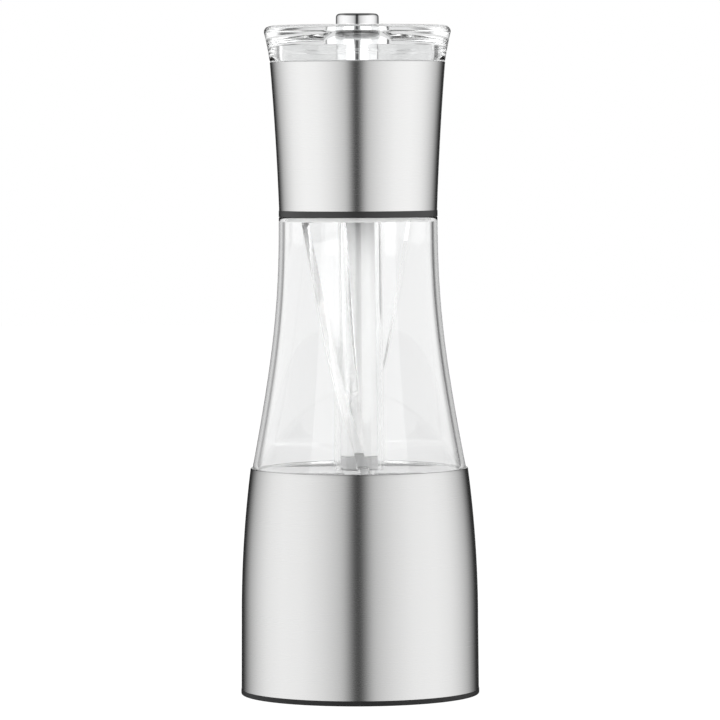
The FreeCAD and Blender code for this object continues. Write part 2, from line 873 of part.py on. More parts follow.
def drive_shaft():
    """Translucent tube that turns inside the divider, with a square socket in its top."""
    z_flush = z_collar + collar_height + seat_gap
    tail = disc(shaft_bottom_radius - collar_wall - bond_gap, z_shaft, z_flush)
    cone = Part.makeCone(
        shaft_bottom_radius, shaft_top_radius, z_shaft_top - z_flush, Vector(0, 0, z_flush)
    )
    z_socket = z_dog_bottom - turn_gap
    socket_side = 2 * (dog_half_side + seat_gap)
    bore = disc(shaft_bore_radius, z_shaft - overcut, z_socket - shaft_bore_radius)
    socket = block(socket_side, socket_side, z_socket, z_shaft_top + overcut)
    return joined(tail, cone).cut(bore).cut(socket)


def shaft_collar():
    """Grey cup that the shaft is bonded in, with the stub that runs down through the floor."""
    cup = disc(shaft_bottom_radius, z_collar, z_collar + collar_height)
    cup = cup.cut(disc(shaft_bottom_radius - collar_wall, z_collar + collar_floor, z_body_top))
    stub = disc(stub_radius, z_tray + tray_floor + seat_gap, z_collar + seat_gap)
    return joined(cup, stub)


def drive_gear():
    """Small gear bonded on the stub, in mesh with both side gears."""
    body = gear(drive_teeth, drive_module, z_gears, z_gears + drive_gear_width, drive_backlash)
    return body.cut(disc(stub_radius + bond_gap, z_tray, z_floor))


def side_gear(place, direction):
    """Large gear over one grinder, with the one-way clutch pressed in its bore."""
    phase = meshing_phase(side_teeth, drive_teeth, 0.0, direction)
    low, high = z_gears, z_gears + drive_gear_width
    body = gear(side_teeth, drive_module, low, high, drive_backlash, phase, place)
    return body.cut(disc(clutch_radius + bond_gap, low - overcut, high + overcut, place))


def one_way_clutch(place):
    """Drawn cup of a one-way clutch and its rollers, which run on the spindle."""
    low, high = z_gears, z_gears + drive_gear_width
    inner = clutch_radius - clutch_shell
    roller = (inner - spindle_radius) / 2 - bond_gap
    circle = (inner + spindle_radius) / 2
    rollers = [
        disc(roller, low + seat_gap, high - seat_gap, place + at(circle, 360 * index / clutch_rollers))
        for index in range(clutch_rollers)
    ]
    return Part.makeCompound([pipe(clutch_radius, inner, low, high, place), *rollers])


def spindle(place):
    """Steel spindle: round in the tray's bush, square in the grinding cone, threaded below."""
    top = z_gears + drive_gear_width + spindle_rise
    round_part = disc(spindle_radius, z_spring_seat, top, place)
    seat = disc(spring_seat_radius, z_spring_seat, z_spring_seat + spring_seat_thickness, place)
    square = block(spindle_square, spindle_square, z_burr_cone, z_spring_seat, place)
    thread = disc(spindle_thread_radius, adjuster_lift, z_burr_cone, place)
    return joined(round_part, seat, square, thread)


def burr_cone(place):
    """Ceramic grinding cone with slanting ridges, square in the bore."""
    z_top = z_burr_cone + burr_cone_height
    outlines = [
        star(radius, radius - burr_ridge, burr_ridges, height, turn, place)
        for radius, height, turn in (
            (burr_bottom_radius, z_burr_cone, 0.0),
            (burr_top_radius, z_top, burr_twist),
        )
    ]
    body = Part.makeLoft(outlines, True, True)
    hole = spindle_square + 2 * seat_gap
    return body.cut(block(hole, hole, z_burr_cone - overcut, z_top + overcut, place))


def burr_ring(place):
    """Ceramic ring with teeth on its inside, held in the funnel body's cup by the cover."""
    z_top = z_burr_ring + burr_ring_height
    outlines = [
        star(radius + burr_ring_tooth, radius, burr_ring_teeth, height, turn, place)
        for radius, height, turn in (
            (burr_bottom_radius + burr_gap, z_burr_ring - overcut, 0.0),
            (burr_ring_throat, z_top + overcut, -burr_twist),
        )
    ]
    return disc(burr_ring_radius, z_burr_ring, z_top, place).cut(Part.makeLoft(outlines, True, True))


def burr_spring(place):
    """Spring that presses the grinding cone down on its adjuster."""
    low = z_burr_cone + burr_cone_height + seat_gap
    return coil(
        burr_spring_radius, burr_spring_wire, low, z_spring_seat - seat_gap, burr_spring_turns, place
    )


def adjuster(place):
    """Ribbed nut under the grinder that sets how fine it grinds."""
    body = disc(adjuster_radius, adjuster_lift, z_adjuster_top, place)
    feet = [place + at(adjuster_radius, 360 * index / adjuster_ribs) for index in range(adjuster_ribs)]
    ribs = [disc(adjuster_rib_radius, adjuster_lift, z_adjuster_top, foot) for foot in feet]
    bore = disc(spindle_thread_radius + run_gap, 0, z_adjuster_top + overcut, place)
    return joined(body, *ribs).cut(bore)


def head_chassis():
    """Black chassis of the head: its foot shows as the ring at the waist, and inside the sleeve
    it has a wall, a cradle for each cell and two ribs that carry the board."""
    floor = turned(
        [
            (0, z_body_top),
            (body_waist_radius - ring_round, z_body_top),
            round_under(body_waist_radius, z_body_top, ring_round),
            (body_waist_radius, z_ring_top),
            (0, z_ring_top),
        ]
    )
    inset = sleeve_wall + seat_gap
    wall = turned(
        [
            (sleeve_flank(z_ring_top) - inset, z_ring_top),
            flank(sleeve_flank, z_ring_top, z_chassis_top, inset),
            (sleeve_flank(z_chassis_top) - inset - chassis_wall, z_chassis_top),
            flank(sleeve_flank, z_chassis_top, z_ring_top, inset + chassis_wall),
        ]
    )
    inside = turned(
        [
            (0, z_ring_top),
            (sleeve_flank(z_ring_top) - inset - chassis_wall / 2, z_ring_top),
            flank(sleeve_flank, z_ring_top, z_chassis_top, inset + chassis_wall / 2),
            (0, z_chassis_top),
        ]
    )
    carried = []
    rib_length = sleeve_top_radius - chassis_rib_start
    rib_middle = Vector(chassis_rib_start + rib_length / 2, 0, 0)
    for angle in board_ear_angles:
        rib = block(rib_length, chassis_rib_thickness, z_ring_top, z_board, rib_middle)
        rib.rotate(ORIGIN, UP, angle)
        carried.append(rib)
        carried.append(disc(boss_radius, z_ring_top, z_board, at(board_screw_circle, angle)))
    cradle_low = z_cells + turn_gap
    inner = cell_radius + cradle_gap
    gearbox_room = disc(gearbox_radius + cradle_gap, z_ring_top, z_chassis_top)
    for place in cell_places:
        cradle = pipe(inner + cradle_wall, inner, cradle_low, cradle_low + cradle_height, place)
        carried.append(cradle.cut(gearbox_room))
    body = joined(floor, wall, *[piece.common(inside) for piece in carried])
    body = body.cut(disc(hub_radius + turn_gap, z_body_top - overcut, z_ring_top + overcut))
    half_groove = seal_tongue / 2 + bond_gap
    groove = pipe(
        seal_middle + half_groove,
        seal_middle - half_groove,
        z_body_top - overcut,
        z_body_top + seal_groove + seat_gap,
    )
    long_holes = screw_holes(lug_places(), gearbox_screw_seat(), True, gearbox_screw_length)
    short_holes = screw_holes(board_screw_places(), z_board_top, down=True)
    return cut_all(body, [groove, *long_holes, *short_holes])


def head_seal():
    """Soft ring under the chassis that fits in the body's mouth."""
    outer = mouth_radius - seat_gap
    ring = pipe(outer, outer - seal_width, z_seal, z_body_top - bond_gap)
    half_tongue = seal_tongue / 2
    tongue = pipe(
        seal_middle + half_tongue, seal_middle - half_tongue, z_seal + seat_gap, z_body_top + seal_groove
    )
    return joined(ring, tongue)


def head_sleeve():
    """Brushed steel sleeve of the head, flared towards the lid."""
    return turned(
        [
            (sleeve_flank(z_ring_top) - sleeve_wall, z_ring_top),
            (sleeve_flank(z_ring_top), z_ring_top),
            flank(sleeve_flank, z_ring_top, z_sleeve_top),
            (sleeve_top_radius - sleeve_wall, z_sleeve_top),
            flank(sleeve_flank, z_sleeve_top, z_ring_top, sleeve_wall),
        ]
    )


def lug_places():
    """The two lugs of the gearbox, on the axis that runs between the cells."""
    return [Vector(-lug_reach, 0, 0), Vector(lug_reach, 0, 0)]


def gearbox_screw_seat():
    """The height at which the gearbox's long screws seat."""
    return z_gearbox_top + gearbox_cap_thickness


def board_screw_places():
    """Where the board is screwed to the chassis."""
    return [at(board_screw_circle, angle) for angle in board_ear_angles]


def lugged(low, high):
    """A round plate or block of the gearbox with its two lugs."""
    body = disc(gearbox_radius, low, high)
    for place in lug_places():
        arm = block(lug_reach, 2 * lug_radius, low, high, place * 0.5)
        body = body.fuse(arm).fuse(disc(lug_radius, low, high, place))
    holes = [
        disc(screw_radius + seat_gap, low - overcut, high + overcut, place) for place in lug_places()
    ]
    return cut_all(body, holes)


def gearbox_cap():
    """Lower plate of the gearbox, a bush for the output hub."""
    bush = disc(hub_radius + run_gap, z_ring_top - overcut, z_gearbox + overcut)
    return lugged(z_ring_top, z_gearbox).cut(bush)


def gearbox_housing():
    """Gearbox housing with the teeth of both stages' ring inside."""
    phase = ring_phase(planet_phases[0], planet_angles[0])
    outline = gear_outline(
        ring_teeth, fine_module, gear_root_share * fine_module, fine_module, -planet_backlash, phase
    )
    outline.translate(Vector(0, 0, z_gearbox))
    hollow = Part.Face(outline).extrude(UP * (z_gearbox_top - z_gearbox))
    return lugged(z_gearbox, z_gearbox_top).cut(hollow)


def planet(low, index):
    """A planet gear with its bore, in its place round the axis."""
    centre = at(planet_orbit, planet_angles[index])
    body = gear(
        planet_teeth, fine_module, low, low + planet_width, planet_backlash, planet_phases[index], centre
    )
    return body.cut(disc(planet_pin_radius + run_gap, low - overcut, low + planet_width + 1, centre))


def carrier(disc_low, pins_top):
    """A carrier's disc with the pins that its planets turn on."""
    pins = [
        disc(planet_pin_radius, disc_low, pins_top, at(planet_orbit, angle)) for angle in planet_angles
    ]
    return [disc(carrier_radius, disc_low, disc_low + carrier_thickness), *pins]


def first_carrier():
    """Carrier of the motor's stage, with the next stage's sun gear under it."""
    pieces = carrier(z_stage_disc, z_input_planets + planet_width)
    sun = gear(sun_teeth, fine_module, z_output_planets, z_stage_disc, planet_backlash)
    return joined(sun, *pieces)


def output_carrier():
    """Carrier of the last stage, with its hub and the square dog that drives the shaft."""
    low = z_gearbox + stage_gap
    pieces = carrier(low, z_output_planets + planet_width)
    hub = disc(hub_radius, z_hub_bottom, low + carrier_thickness / 2)
    dog = block(2 * dog_half_side, 2 * dog_half_side, z_dog_bottom, z_hub_bottom)
    return joined(hub, dog, *pieces)


def motor_pinion():
    """The motor's shaft with the first sun gear on it."""
    sun = gear(sun_teeth, fine_module, z_input_planets, z_input_planets + planet_width, planet_backlash)
    shaft = disc(motor_shaft_radius, z_input_planets + planet_width / 2, z_motor + motor_length / 2)
    return joined(sun, shaft)


def motor_plate():
    """Steel plate that closes the gearbox and carries the motor."""
    body = lugged(z_gearbox_top, gearbox_screw_seat())
    hole = disc(
        motor_boss_radius + bond_gap, z_gearbox_top - overcut, gearbox_screw_seat() + overcut
    )
    return body.cut(hole)


def motor():
    """Small motor with two flats, its front boss in the plate and two terminals at its back."""
    low = gearbox_screw_seat()
    can = disc(motor_radius, low, z_motor_top)
    can = can.common(block(2 * motor_radius, 2 * motor_flat, low, z_motor_top))
    boss = disc(motor_boss_radius, z_gearbox_top, low)
    pins = [
        disc(motor_terminal_radius, z_motor_top - overcut, z_board + board_thickness / 2, Vector(x, 0, 0))
        for x in (-motor_terminal_reach, motor_terminal_reach)
    ]
    bore_top = z_motor + motor_length / 2 + turn_gap
    bore = disc(motor_shaft_radius + run_gap, z_gearbox_top - overcut, bore_top)
    return joined(can, boss, *pins).cut(bore)


def head_screws():
    """Two long screws through the gearbox and two short ones that hold the board."""
    long_ones = screws(lug_places(), gearbox_screw_seat(), True, gearbox_screw_length)
    return Part.makeCompound(long_ones + screws(board_screw_places(), z_board_top, down=True))


def control_board():
    """Round board over the motor, held at two ears."""
    body = disc(board_radius, z_board, z_board_top)
    for angle in board_ear_angles:
        middle = at(board_screw_circle / 2, 0)
        ear = block(board_screw_circle, board_ear_width, z_board, z_board_top, middle)
        ear.rotate(ORIGIN, UP, angle)
        end = disc(board_ear_width / 2, z_board, z_board_top, at(board_screw_circle, angle))
        body = body.fuse(ear).fuse(end)
    holes = [(screw_radius + seat_gap, place) for place in board_screw_places()]
    for x in (-motor_terminal_reach, motor_terminal_reach):
        holes.append((motor_terminal_radius + bond_gap, Vector(x, 0, 0)))
    low, high = z_board - overcut, z_board_top + overcut
    return cut_all(body, [disc(radius, low, high, place) for radius, place in holes])


def press_switch():
    """Push switch on the board, under the button's rod."""
    case = block(switch_side, switch_side, z_board_top, z_board_top + switch_height)
    plunger = disc(switch_plunger_radius, z_board_top, z_switch_top)
    return joined(case, plunger)


def battery(index):
    """A cell; every second one stands on its head."""
    place = cell_places[index]
    can_low, can_high = z_cells, z_cells_top - cell_nub_height
    if index % 2:
        can_low, can_high = z_cells + cell_nub_height, z_cells_top
    nub = disc(cell_nub_radius, z_cells, z_cells_top, place)
    return joined(disc(cell_radius, can_low, can_high, place), nub)


def battery_contacts():
    """Contacts on the chassis floor: one joins two cells, and two lead to the board."""
    low, strip_high = z_ring_top, z_ring_top + contact_strip
    pad_high = z_cells - seat_gap
    half = contact_width / 2
    middle = cell_circle + contact_pad_radius - half + seat_gap
    joint = ring_sector(middle + half, middle - half, low, strip_high, *bridged_angles)
    pads = [disc(contact_pad_radius, low, pad_high, place) for place in cell_places]
    made = [joined(joint, pads[1], pads[2])]
    for index, side in ((0, 1), (3, -1)):
        start, end = cell_places[index], at(lead_circle, side * lead_angle)
        run = end - start
        tab = block(run.Length, terminal_width, low, strip_high, Vector(run.Length / 2, 0, 0))
        tab.rotate(ORIGIN, UP, math.degrees(math.atan2(run.y, run.x)))
        tab.translate(start)
        made.append(joined(pads[index], tab))
    return Part.makeCompound(made)


def battery_leads():
    """Two leads from the end contacts up to the board's upper side."""
    made = []
    for side in (-1, 1):
        angle = side * lead_angle
        loop = z_board_top + lead_rise
        points = [
            at(lead_circle, angle, z_ring_top + contact_strip),
            at(lead_circle, angle, loop),
            at(lead_end_circle, angle, loop),
            at(lead_end_circle, angle, z_board_top),
        ]
        made.append(run_of_wire(points, lead_radius, lead_bend))
    return Part.makeCompound(made)


def clear_lid():
    """Clear lid: a thick top, a flared edge, and a spigot that fits in the sleeve."""
    edge_low = z_lid_top - lid_edge_round
    inner = lid_spigot_radius - lid_spigot_wall
    groove = lid_spigot_radius - lid_groove_depth
    hole = button_radius + lid_hole_gap
    flare = bowed((sleeve_top_radius, z_lid_bottom), (lid_edge_radius, edge_low), -lid_flare_draw)
    return turned(
        [
            (inner, z_lid_spigot),
            (lid_spigot_radius, z_lid_spigot),
            (lid_spigot_radius, z_lid_groove),
            (groove, z_lid_groove),
            (groove, z_lid_groove + lid_groove_width),
            (lid_spigot_radius, z_lid_groove + lid_groove_width),
            (lid_spigot_radius, z_lid_bottom),
            (sleeve_top_radius, z_lid_bottom),
            flank(flare, z_lid_bottom, edge_low),
            round_over(lid_edge_radius, z_lid_top, lid_edge_round),
            (hole, z_lid_top),
            (hole, z_lid_ceiling),
            (inner, z_lid_ceiling),
        ]
    )


def lid_seal():
    """Soft ring in the lid's groove."""
    low = z_lid_groove + seat_gap
    high = z_lid_groove + lid_groove_width - seat_gap
    outer = sleeve_flank(low) - sleeve_wall - seat_gap
    return pipe(outer, lid_spigot_radius - lid_groove_depth + bond_gap, low, high)


def lid_plate_disc():
    """Pale plate bonded in the lid's spigot, with a low boss round the button."""
    radius = lid_spigot_radius - lid_spigot_wall - bond_gap
    body = disc(radius, z_lid_plate_bottom, z_lid_plate_top)
    body = body.fuse(disc(lid_boss_radius, z_lid_plate_bottom, z_lid_plate_top + lid_boss_height))
    hole = disc(button_radius + button_hole_gap, z_lid_plate_bottom - overcut, z_lid_top)
    return cut_all(body.cut(hole), screw_holes(cup_screw_places(), cup_screw_seat(), down=False))


def cup_screw_places():
    """Where the spring cup is screwed to the lid's plate."""
    return [Vector(-cup_screw_reach, 0, 0), Vector(cup_screw_reach, 0, 0)]


def cup_screw_seat():
    """The height at which the cup's screws seat, so that their tips stay inside the boss."""
    return z_lid_plate_top + lid_boss_height - tip_cover - screw_length


def spring_cup():
    """Cup under the lid's plate that holds the button's flange and spring."""
    z_top = z_lid_plate_bottom - seat_gap
    inner = button_radius + button_flange + turn_gap
    body = disc(inner + cup_wall, z_cup_floor - cup_floor, z_top)
    for place in cup_screw_places():
        body = body.fuse(disc(boss_radius, cup_screw_seat(), z_top, place))
    body = body.cut(disc(inner, z_cup_floor, z_top + overcut))
    body = body.cut(disc(rod_radius + button_hole_gap, z_cup_floor - cup_floor - overcut, z_top))
    return cut_all(body, screw_holes(cup_screw_places(), cup_screw_seat(), down=False))


def cup_screws():
    """Two screws up through the cup's lugs into the lid's plate."""
    return Part.makeCompound(screws(cup_screw_places(), cup_screw_seat(), down=False))


def contact_bridges():
    """Two strips under the lid's plate, each joining two cells at the top."""
    low = z_cells_top + seat_gap
    half = contact_width / 2
    inner, outer, high = cell_circle - half, cell_circle + half, low + bridge_thickness
    reach = 180 / cell_count + bridge_reach
    return Part.makeCompound(
        [ring_sector(outer, inner, low, high, middle - reach, middle + reach) for middle in bridge_angles]
    )


def power_button():
    """Chromed cap in the middle of the lid, a tube with a closed, rounded top and a flange."""
    inner = button_radius - button_wall
    return turned(
        [
            (inner, z_button_flange),
            (button_radius + button_flange, z_button_flange),
            (button_radius + button_flange, z_button_flange + button_flange_thickness),
            (button_radius, z_button_flange + button_flange_thickness),
            (button_radius, z_button_top - button_round),
            round_over(button_radius, z_button_top, button_round),
            (0, z_button_top),
            (0, z_button_top - button_round),
            (inner, z_button_top - button_round),
        ]
    )


def button_rod():
    """Rod inside the button that reaches down to the switch."""
    head_low = z_button_flange + rod_head_height
    head = disc(button_radius - button_wall - bond_gap, head_low, head_low + rod_head_thickness)
    rod_low = z_switch_top + button_travel + press_gap
    rod = disc(rod_radius, rod_low, head_low + rod_head_thickness / 2)
    return joined(head, rod)


def button_spring():
    """Spring in the cup that lifts the button again."""
    high = z_button_flange + rod_head_height - seat_gap
    return coil(
        button_spring_radius, button_spring_wire, z_cup_floor + seat_gap, high, button_spring_turns
    )


def pieces():
    """Every piece by its name."""
    made = {
        "base_skirt": base_skirt(),
        "base_cover": base_cover(),
        "base_screws": base_screws(),
        "funnel_body": funnel_body(),
        "hopper_floor": hopper_floor(),
        "gear_tray": gear_tray(),
        "tray_screws": tray_screws(),
        "clear_body": clear_body(),
        "divider": divider(),
        "drive_shaft": drive_shaft(),
        "shaft_collar": shaft_collar(),
        "drive_gear": drive_gear(),
    }
    for side, place in grinder_sides.items():
        made["burr_ring_" + side] = burr_ring(place)
        made["side_gear_" + side] = side_gear(place, 0.0 if side == "right" else 180.0)
        made["one_way_clutch_" + side] = one_way_clutch(place)
        made["spindle_" + side] = spindle(place)
        made["burr_cone_" + side] = burr_cone(place)
        made["burr_spring_" + side] = burr_spring(place)
        made["adjuster_" + side] = adjuster(place)
    made["head_chassis"] = head_chassis()
    made["head_sleeve"] = head_sleeve()
    made["head_seal"] = head_seal()
    made["gearbox_cap"] = gearbox_cap()
    made["gearbox_housing"] = gearbox_housing()
    made["output_carrier"] = output_carrier()
    made["first_carrier"] = first_carrier()
    for index in range(planet_count):
        made["output_planet_" + str(index + 1)] = planet(z_output_planets, index)
        made["first_planet_" + str(index + 1)] = planet(z_input_planets, index)
    made["motor_pinion"] = motor_pinion()
    made["motor_plate"] = motor_plate()
    made["motor"] = motor()
    made["head_screws"] = head_screws()
    made["control_board"] = control_board()
    made["press_switch"] = press_switch()
    for index in range(cell_count):
        made["battery_" + str(index + 1)] = battery(index)
    made["battery_contacts"] = battery_contacts()
    made["battery_leads"] = battery_leads()
    made["clear_lid"] = clear_lid()
    made["lid_plate"] = lid_plate_disc()
    made["lid_seal"] = lid_seal()
    made["contact_bridges"] = contact_bridges()
    made["spring_cup"] = spring_cup()
    made["cup_screws"] = cup_screws()
    made["power_button"] = power_button()
    made["button_rod"] = button_rod()
    made["button_spring"] = button_spring()
    return made


def main():
    os.makedirs("parts", exist_ok=True)
    made = pieces()
    for name, shape in made.items():
        shape.exportStep(os.path.join("parts", name + ".step"))
        print(name, "solids", len(shape.Solids), "volume", round(shape.Volume, 1), "valid", shape.isValid())
    print(len(made), "pieces")


if __name__ == "__main__":
    main()
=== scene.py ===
import math

import bpy
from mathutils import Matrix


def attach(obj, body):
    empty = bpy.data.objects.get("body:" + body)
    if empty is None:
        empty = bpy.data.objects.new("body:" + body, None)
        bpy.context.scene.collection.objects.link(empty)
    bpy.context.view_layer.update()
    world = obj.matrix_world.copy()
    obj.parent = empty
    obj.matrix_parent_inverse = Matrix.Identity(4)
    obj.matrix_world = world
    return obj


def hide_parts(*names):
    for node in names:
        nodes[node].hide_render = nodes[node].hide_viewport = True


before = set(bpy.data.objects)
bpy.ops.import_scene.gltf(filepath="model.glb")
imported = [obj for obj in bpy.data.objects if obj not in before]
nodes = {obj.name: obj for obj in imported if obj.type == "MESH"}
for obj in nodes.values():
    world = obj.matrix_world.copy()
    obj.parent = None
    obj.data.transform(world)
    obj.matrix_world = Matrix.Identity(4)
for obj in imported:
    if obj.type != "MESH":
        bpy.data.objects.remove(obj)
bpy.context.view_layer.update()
mm = 0.001

# Brushed skirt
# The skirt is drawn from thin stainless steel, upright at the foot and drawn in above. It is
# brushed round its axis, so its light spreads up and down, and its upper lip is rolled over.


def bowed(low, high, swell):
    """The radius along an arc between two (radius, height) points that stands out by swell."""
    run, rise = high[0] - low[0], high[1] - low[1]
    chord = math.hypot(run, rise)
    radius = (chord * chord / 4 + swell * swell) / (2 * abs(swell))
    side = math.copysign(1.0, swell)
    inward = radius - abs(swell)
    centre_x = (low[0] + high[0]) / 2 - side * rise / chord * inward
    centre_z = (low[1] + high[1]) / 2 + side * run / chord * inward

    def radius_at(height):
        return centre_x + side * math.sqrt(radius**2 - (height - centre_z) ** 2)

    return radius_at


def along(radius_at, low, high, steps, inset=0.0):
    """Points of an outline along a bowed flank, from one height to another."""
    heights = [low + (high - low) * step / steps for step in range(steps + 1)]
    return [(radius_at(height) - inset, height) for height in heights]


def rounded(centre, radius, start, end, steps=8):
    """Points of an outline round a corner, from one angle to another in degrees."""
    angles = [math.radians(start + (end - start) * step / steps) for step in range(steps + 1)]
    return [
        (centre[0] + radius * math.cos(angle), centre[1] + radius * math.sin(angle))
        for angle in angles
    ]


def settled(piece, name, sharp=35.0):
    """Names a finished piece, puts its place in its mesh and smooths it up to an angle."""
    piece.name = piece.data.name = name
    bpy.ops.object.select_all(action="DESELECT")
    piece.select_set(True)
    bpy.context.view_layer.objects.active = piece
    bpy.ops.object.transform_apply(location=True, rotation=True, scale=True)
    bpy.ops.object.shade_smooth_by_angle(angle=math.radians(sharp))
    return piece


def turned(name, outline, sides=192, sharp=35.0):
    """A round piece: a ring that is drawn out along an outline of (radius, height) in mm."""
    bpy.ops.object.select_all(action="DESELECT")
    bpy.ops.mesh.primitive_circle_add(
        vertices=sides, radius=outline[0][0] * mm, location=(0, 0, outline[0][1] * mm)
    )
    piece = bpy.context.object
    bpy.ops.object.mode_set(mode="EDIT")
    bpy.ops.mesh.select_all(action="SELECT")
    for here, there in zip(outline, outline[1:]):
        lift = (0, 0, (there[1] - here[1]) * mm)
        bpy.ops.mesh.extrude_edges_move(TRANSFORM_OT_translate={"value": lift})
        widen = there[0] / here[0]
        if abs(widen - 1) > 1e-9:
            bpy.ops.transform.resize(value=(widen, widen, 1), center_override=(0, 0, 0))
    bpy.ops.mesh.select_all(action="SELECT")
    bpy.ops.mesh.remove_doubles(threshold=0.002 * mm)
    bpy.ops.mesh.select_all(action="DESELECT")
    bpy.ops.mesh.select_non_manifold(extend=False)
    bpy.ops.mesh.fill_holes(sides=0)
    bpy.ops.mesh.select_all(action="SELECT")
    bpy.ops.mesh.normals_make_consistent(inside=False)
    bpy.ops.object.mode_set(mode="OBJECT")
    return settled(piece, name, sharp)


def finish_of(name, colour, roughness, metal=0.0):
    """A new material with its shader and links, for the finishes below."""
    material = bpy.data.materials.new(name)
    material.use_nodes = True
    shader = material.node_tree.nodes["Principled BSDF"]
    shader.inputs["Base Color"].default_value = (*colour, 1)
    shader.inputs["Roughness"].default_value = roughness
    shader.inputs["Metallic"].default_value = metal
    return material, shader


def noise_of(material, scale, stretch=(1, 1, 1), detail=3.0):
    """A noise in the piece's own coordinates, in bumps per metre."""
    tree = material.node_tree
    place = tree.nodes.new("ShaderNodeTexCoord")
    mapping = tree.nodes.new("ShaderNodeMapping")
    mapping.inputs["Scale"].default_value = stretch
    noise = tree.nodes.new("ShaderNodeTexNoise")
    noise.inputs["Scale"].default_value = scale
    noise.inputs["Detail"].default_value = detail
    tree.links.new(place.outputs["Object"], mapping.inputs["Vector"])
    tree.links.new(mapping.outputs["Vector"], noise.inputs["Vector"])
    return noise.outputs["Fac"]


def roughened(material, shader, factor, low, high):
    """Lets a noise spread the roughness from low to high."""
    links = material.node_tree.links
    ramp = material.node_tree.nodes.new("ShaderNodeMapRange")
    ramp.inputs["From Min"].default_value = 0.3
    ramp.inputs["From Max"].default_value = 0.7
    ramp.inputs["To Min"].default_value = low
    ramp.inputs["To Max"].default_value = high
    links.new(factor, ramp.inputs["Value"])
    links.new(ramp.outputs["Result"], shader.inputs["Roughness"])


def tinted(material, shader, factor, dark, light):
    """Lets a noise move the colour between two."""
    links = material.node_tree.links
    mix = material.node_tree.nodes.new("ShaderNodeMix")
    mix.data_type = "RGBA"
    mix.inputs["A"].default_value = (*dark, 1)
    mix.inputs["B"].default_value = (*light, 1)
    links.new(factor, mix.inputs["Factor"])
    links.new(mix.outputs["Result"], shader.inputs["Base Color"])


def relief(material, shader, factor, microns):
    """A bump of that depth in thousandths of a millimetre."""
    bump = material.node_tree.nodes.new("ShaderNodeBump")
    bump.inputs["Strength"].default_value = 1.0
    bump.inputs["Distance"].default_value = microns * mm / 1000
    material.node_tree.links.new(factor, bump.inputs["Height"])
    material.node_tree.links.new(bump.outputs["Normal"], shader.inputs["Normal"])


def placed(piece, body, slot, *stands_for):
    """Puts a piece on its body and hides the CAD nodes that it stands for. The slot is not used.
    """
    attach(piece, body)
    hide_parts(*stands_for)
    return piece


skirt_foot = 1.6
skirt_shoulder = (37.45, 24.0)
skirt_foot_radius = 37.6
skirt_rim = (34.35, 71.7)
skirt_wall = 0.5
skirt_swell = 0.783
skirt_flank = bowed(skirt_shoulder, skirt_rim, skirt_swell)
lip = skirt_wall / 2
foot_gap = 0.05


def brushed_steel(name, dark, light):
    """Steel that is brushed round the Z axis, between two greys."""
    blue_share = 0.995
    dull, bright = ((grey, grey, grey * blue_share) for grey in (dark, light))
    steel, shader = finish_of(name, bright, 0.27, metal=1.0)
    hairlines = noise_of(steel, 1.0, stretch=(18, 18, 5200), detail=4.0)
    roughened(steel, shader, hairlines, 0.265, 0.275)
    tinted(steel, shader, hairlines, dull, bright)
    relief(steel, shader, hairlines, 0.02)
    shader.inputs["Anisotropic"].default_value = 0.85
    shader.inputs["Anisotropic Rotation"].default_value = 0.25
    grain = steel.node_tree.nodes.new("ShaderNodeTangent")
    grain.direction_type = "RADIAL"
    grain.axis = "Z"
    steel.node_tree.links.new(grain.outputs["Tangent"], shader.inputs["Tangent"])
    return steel


skirt = turned(
    "skirt",
    [
        (skirt_foot_radius - skirt_wall, skirt_foot + foot_gap),
        (skirt_foot_radius, skirt_foot + foot_gap),
        (skirt_foot_radius, skirt_foot + 2 * foot_gap),
        (skirt_foot_radius, skirt_foot + 4 * foot_gap),
        *along(skirt_flank, skirt_shoulder[1], skirt_rim[1] - lip, 40),
        *rounded((skirt_rim[0] - lip, skirt_rim[1] - lip), lip, 0, 180, 8)[1:],
        *along(skirt_flank, skirt_rim[1] - lip, skirt_shoulder[1], 20, skirt_wall)[1:],
        (skirt_foot_radius - skirt_wall, skirt_foot + foot_gap),
    ],
    sides=256,
)
# Painted shade: the skirt's steel is a darker grey than the sleeve's, though both are one steel.
skirt.data.materials.append(brushed_steel("brushed_skirt_shaded_grey", 0.768, 0.774))
placed(skirt, "base", "brushed_steel", "base_skirt")

# Black rim and cover under the base
# One black moulding closes the base from below. Its rim shows under the skirt as a thin dark
# ring, and its underside has the two outlets, so the moulding itself stays as it was made.

black, shader = finish_of("moulded_black", (0.012, 0.012, 0.0125), 0.42)
shader.inputs["Specular IOR Level"].default_value = 0.25
grain = noise_of(black, 2600.0, detail=2.0)
roughened(black, shader, grain, 0.36, 0.5)
tinted(black, shader, noise_of(black, 90.0), (0.009, 0.009, 0.0095), (0.015, 0.015, 0.0155))
relief(black, shader, grain, 6.0)


def refinish(material, *names):
    """Gives CAD nodes that keep their shape their finish."""
    for name in names:
        for place in nodes[name].material_slots:
            place.material = material


refinish(black, "base_cover", "gear_tray", "spring_cup", "button_rod", "press_switch")

# Funnel body and chamber floor
# Both are moulded from food-grade plastic, the body pale and the floor a light grey. The floor
# shows through the clear body as a disc with an opening at each corner of the two chambers.

pale, shader = finish_of("moulded_pale", (0.82, 0.82, 0.815), 0.38)
cloud = noise_of(pale, 140.0)
tinted(pale, shader, cloud, (0.80, 0.80, 0.79), (0.84, 0.84, 0.835))
roughened(pale, shader, noise_of(pale, 1800.0), 0.33, 0.45)
relief(pale, shader, noise_of(pale, 1800.0), 4.0)
refinish(pale, "funnel_body")

floor_grey, shader = finish_of("moulded_light_grey", (0.52, 0.52, 0.52), 0.4)
tinted(floor_grey, shader, noise_of(floor_grey, 140.0), (0.5, 0.5, 0.5), (0.54, 0.54, 0.54))
relief(floor_grey, shader, noise_of(floor_grey, 1800.0), 4.0)
refinish(floor_grey, "hopper_floor")

# Clear body
# Moulded clear plastic, 1.8 mm thick, waisted towards its mouth. Its foot sits inside
# the skirt on the funnel body, and a ledge there carries the chamber floor.


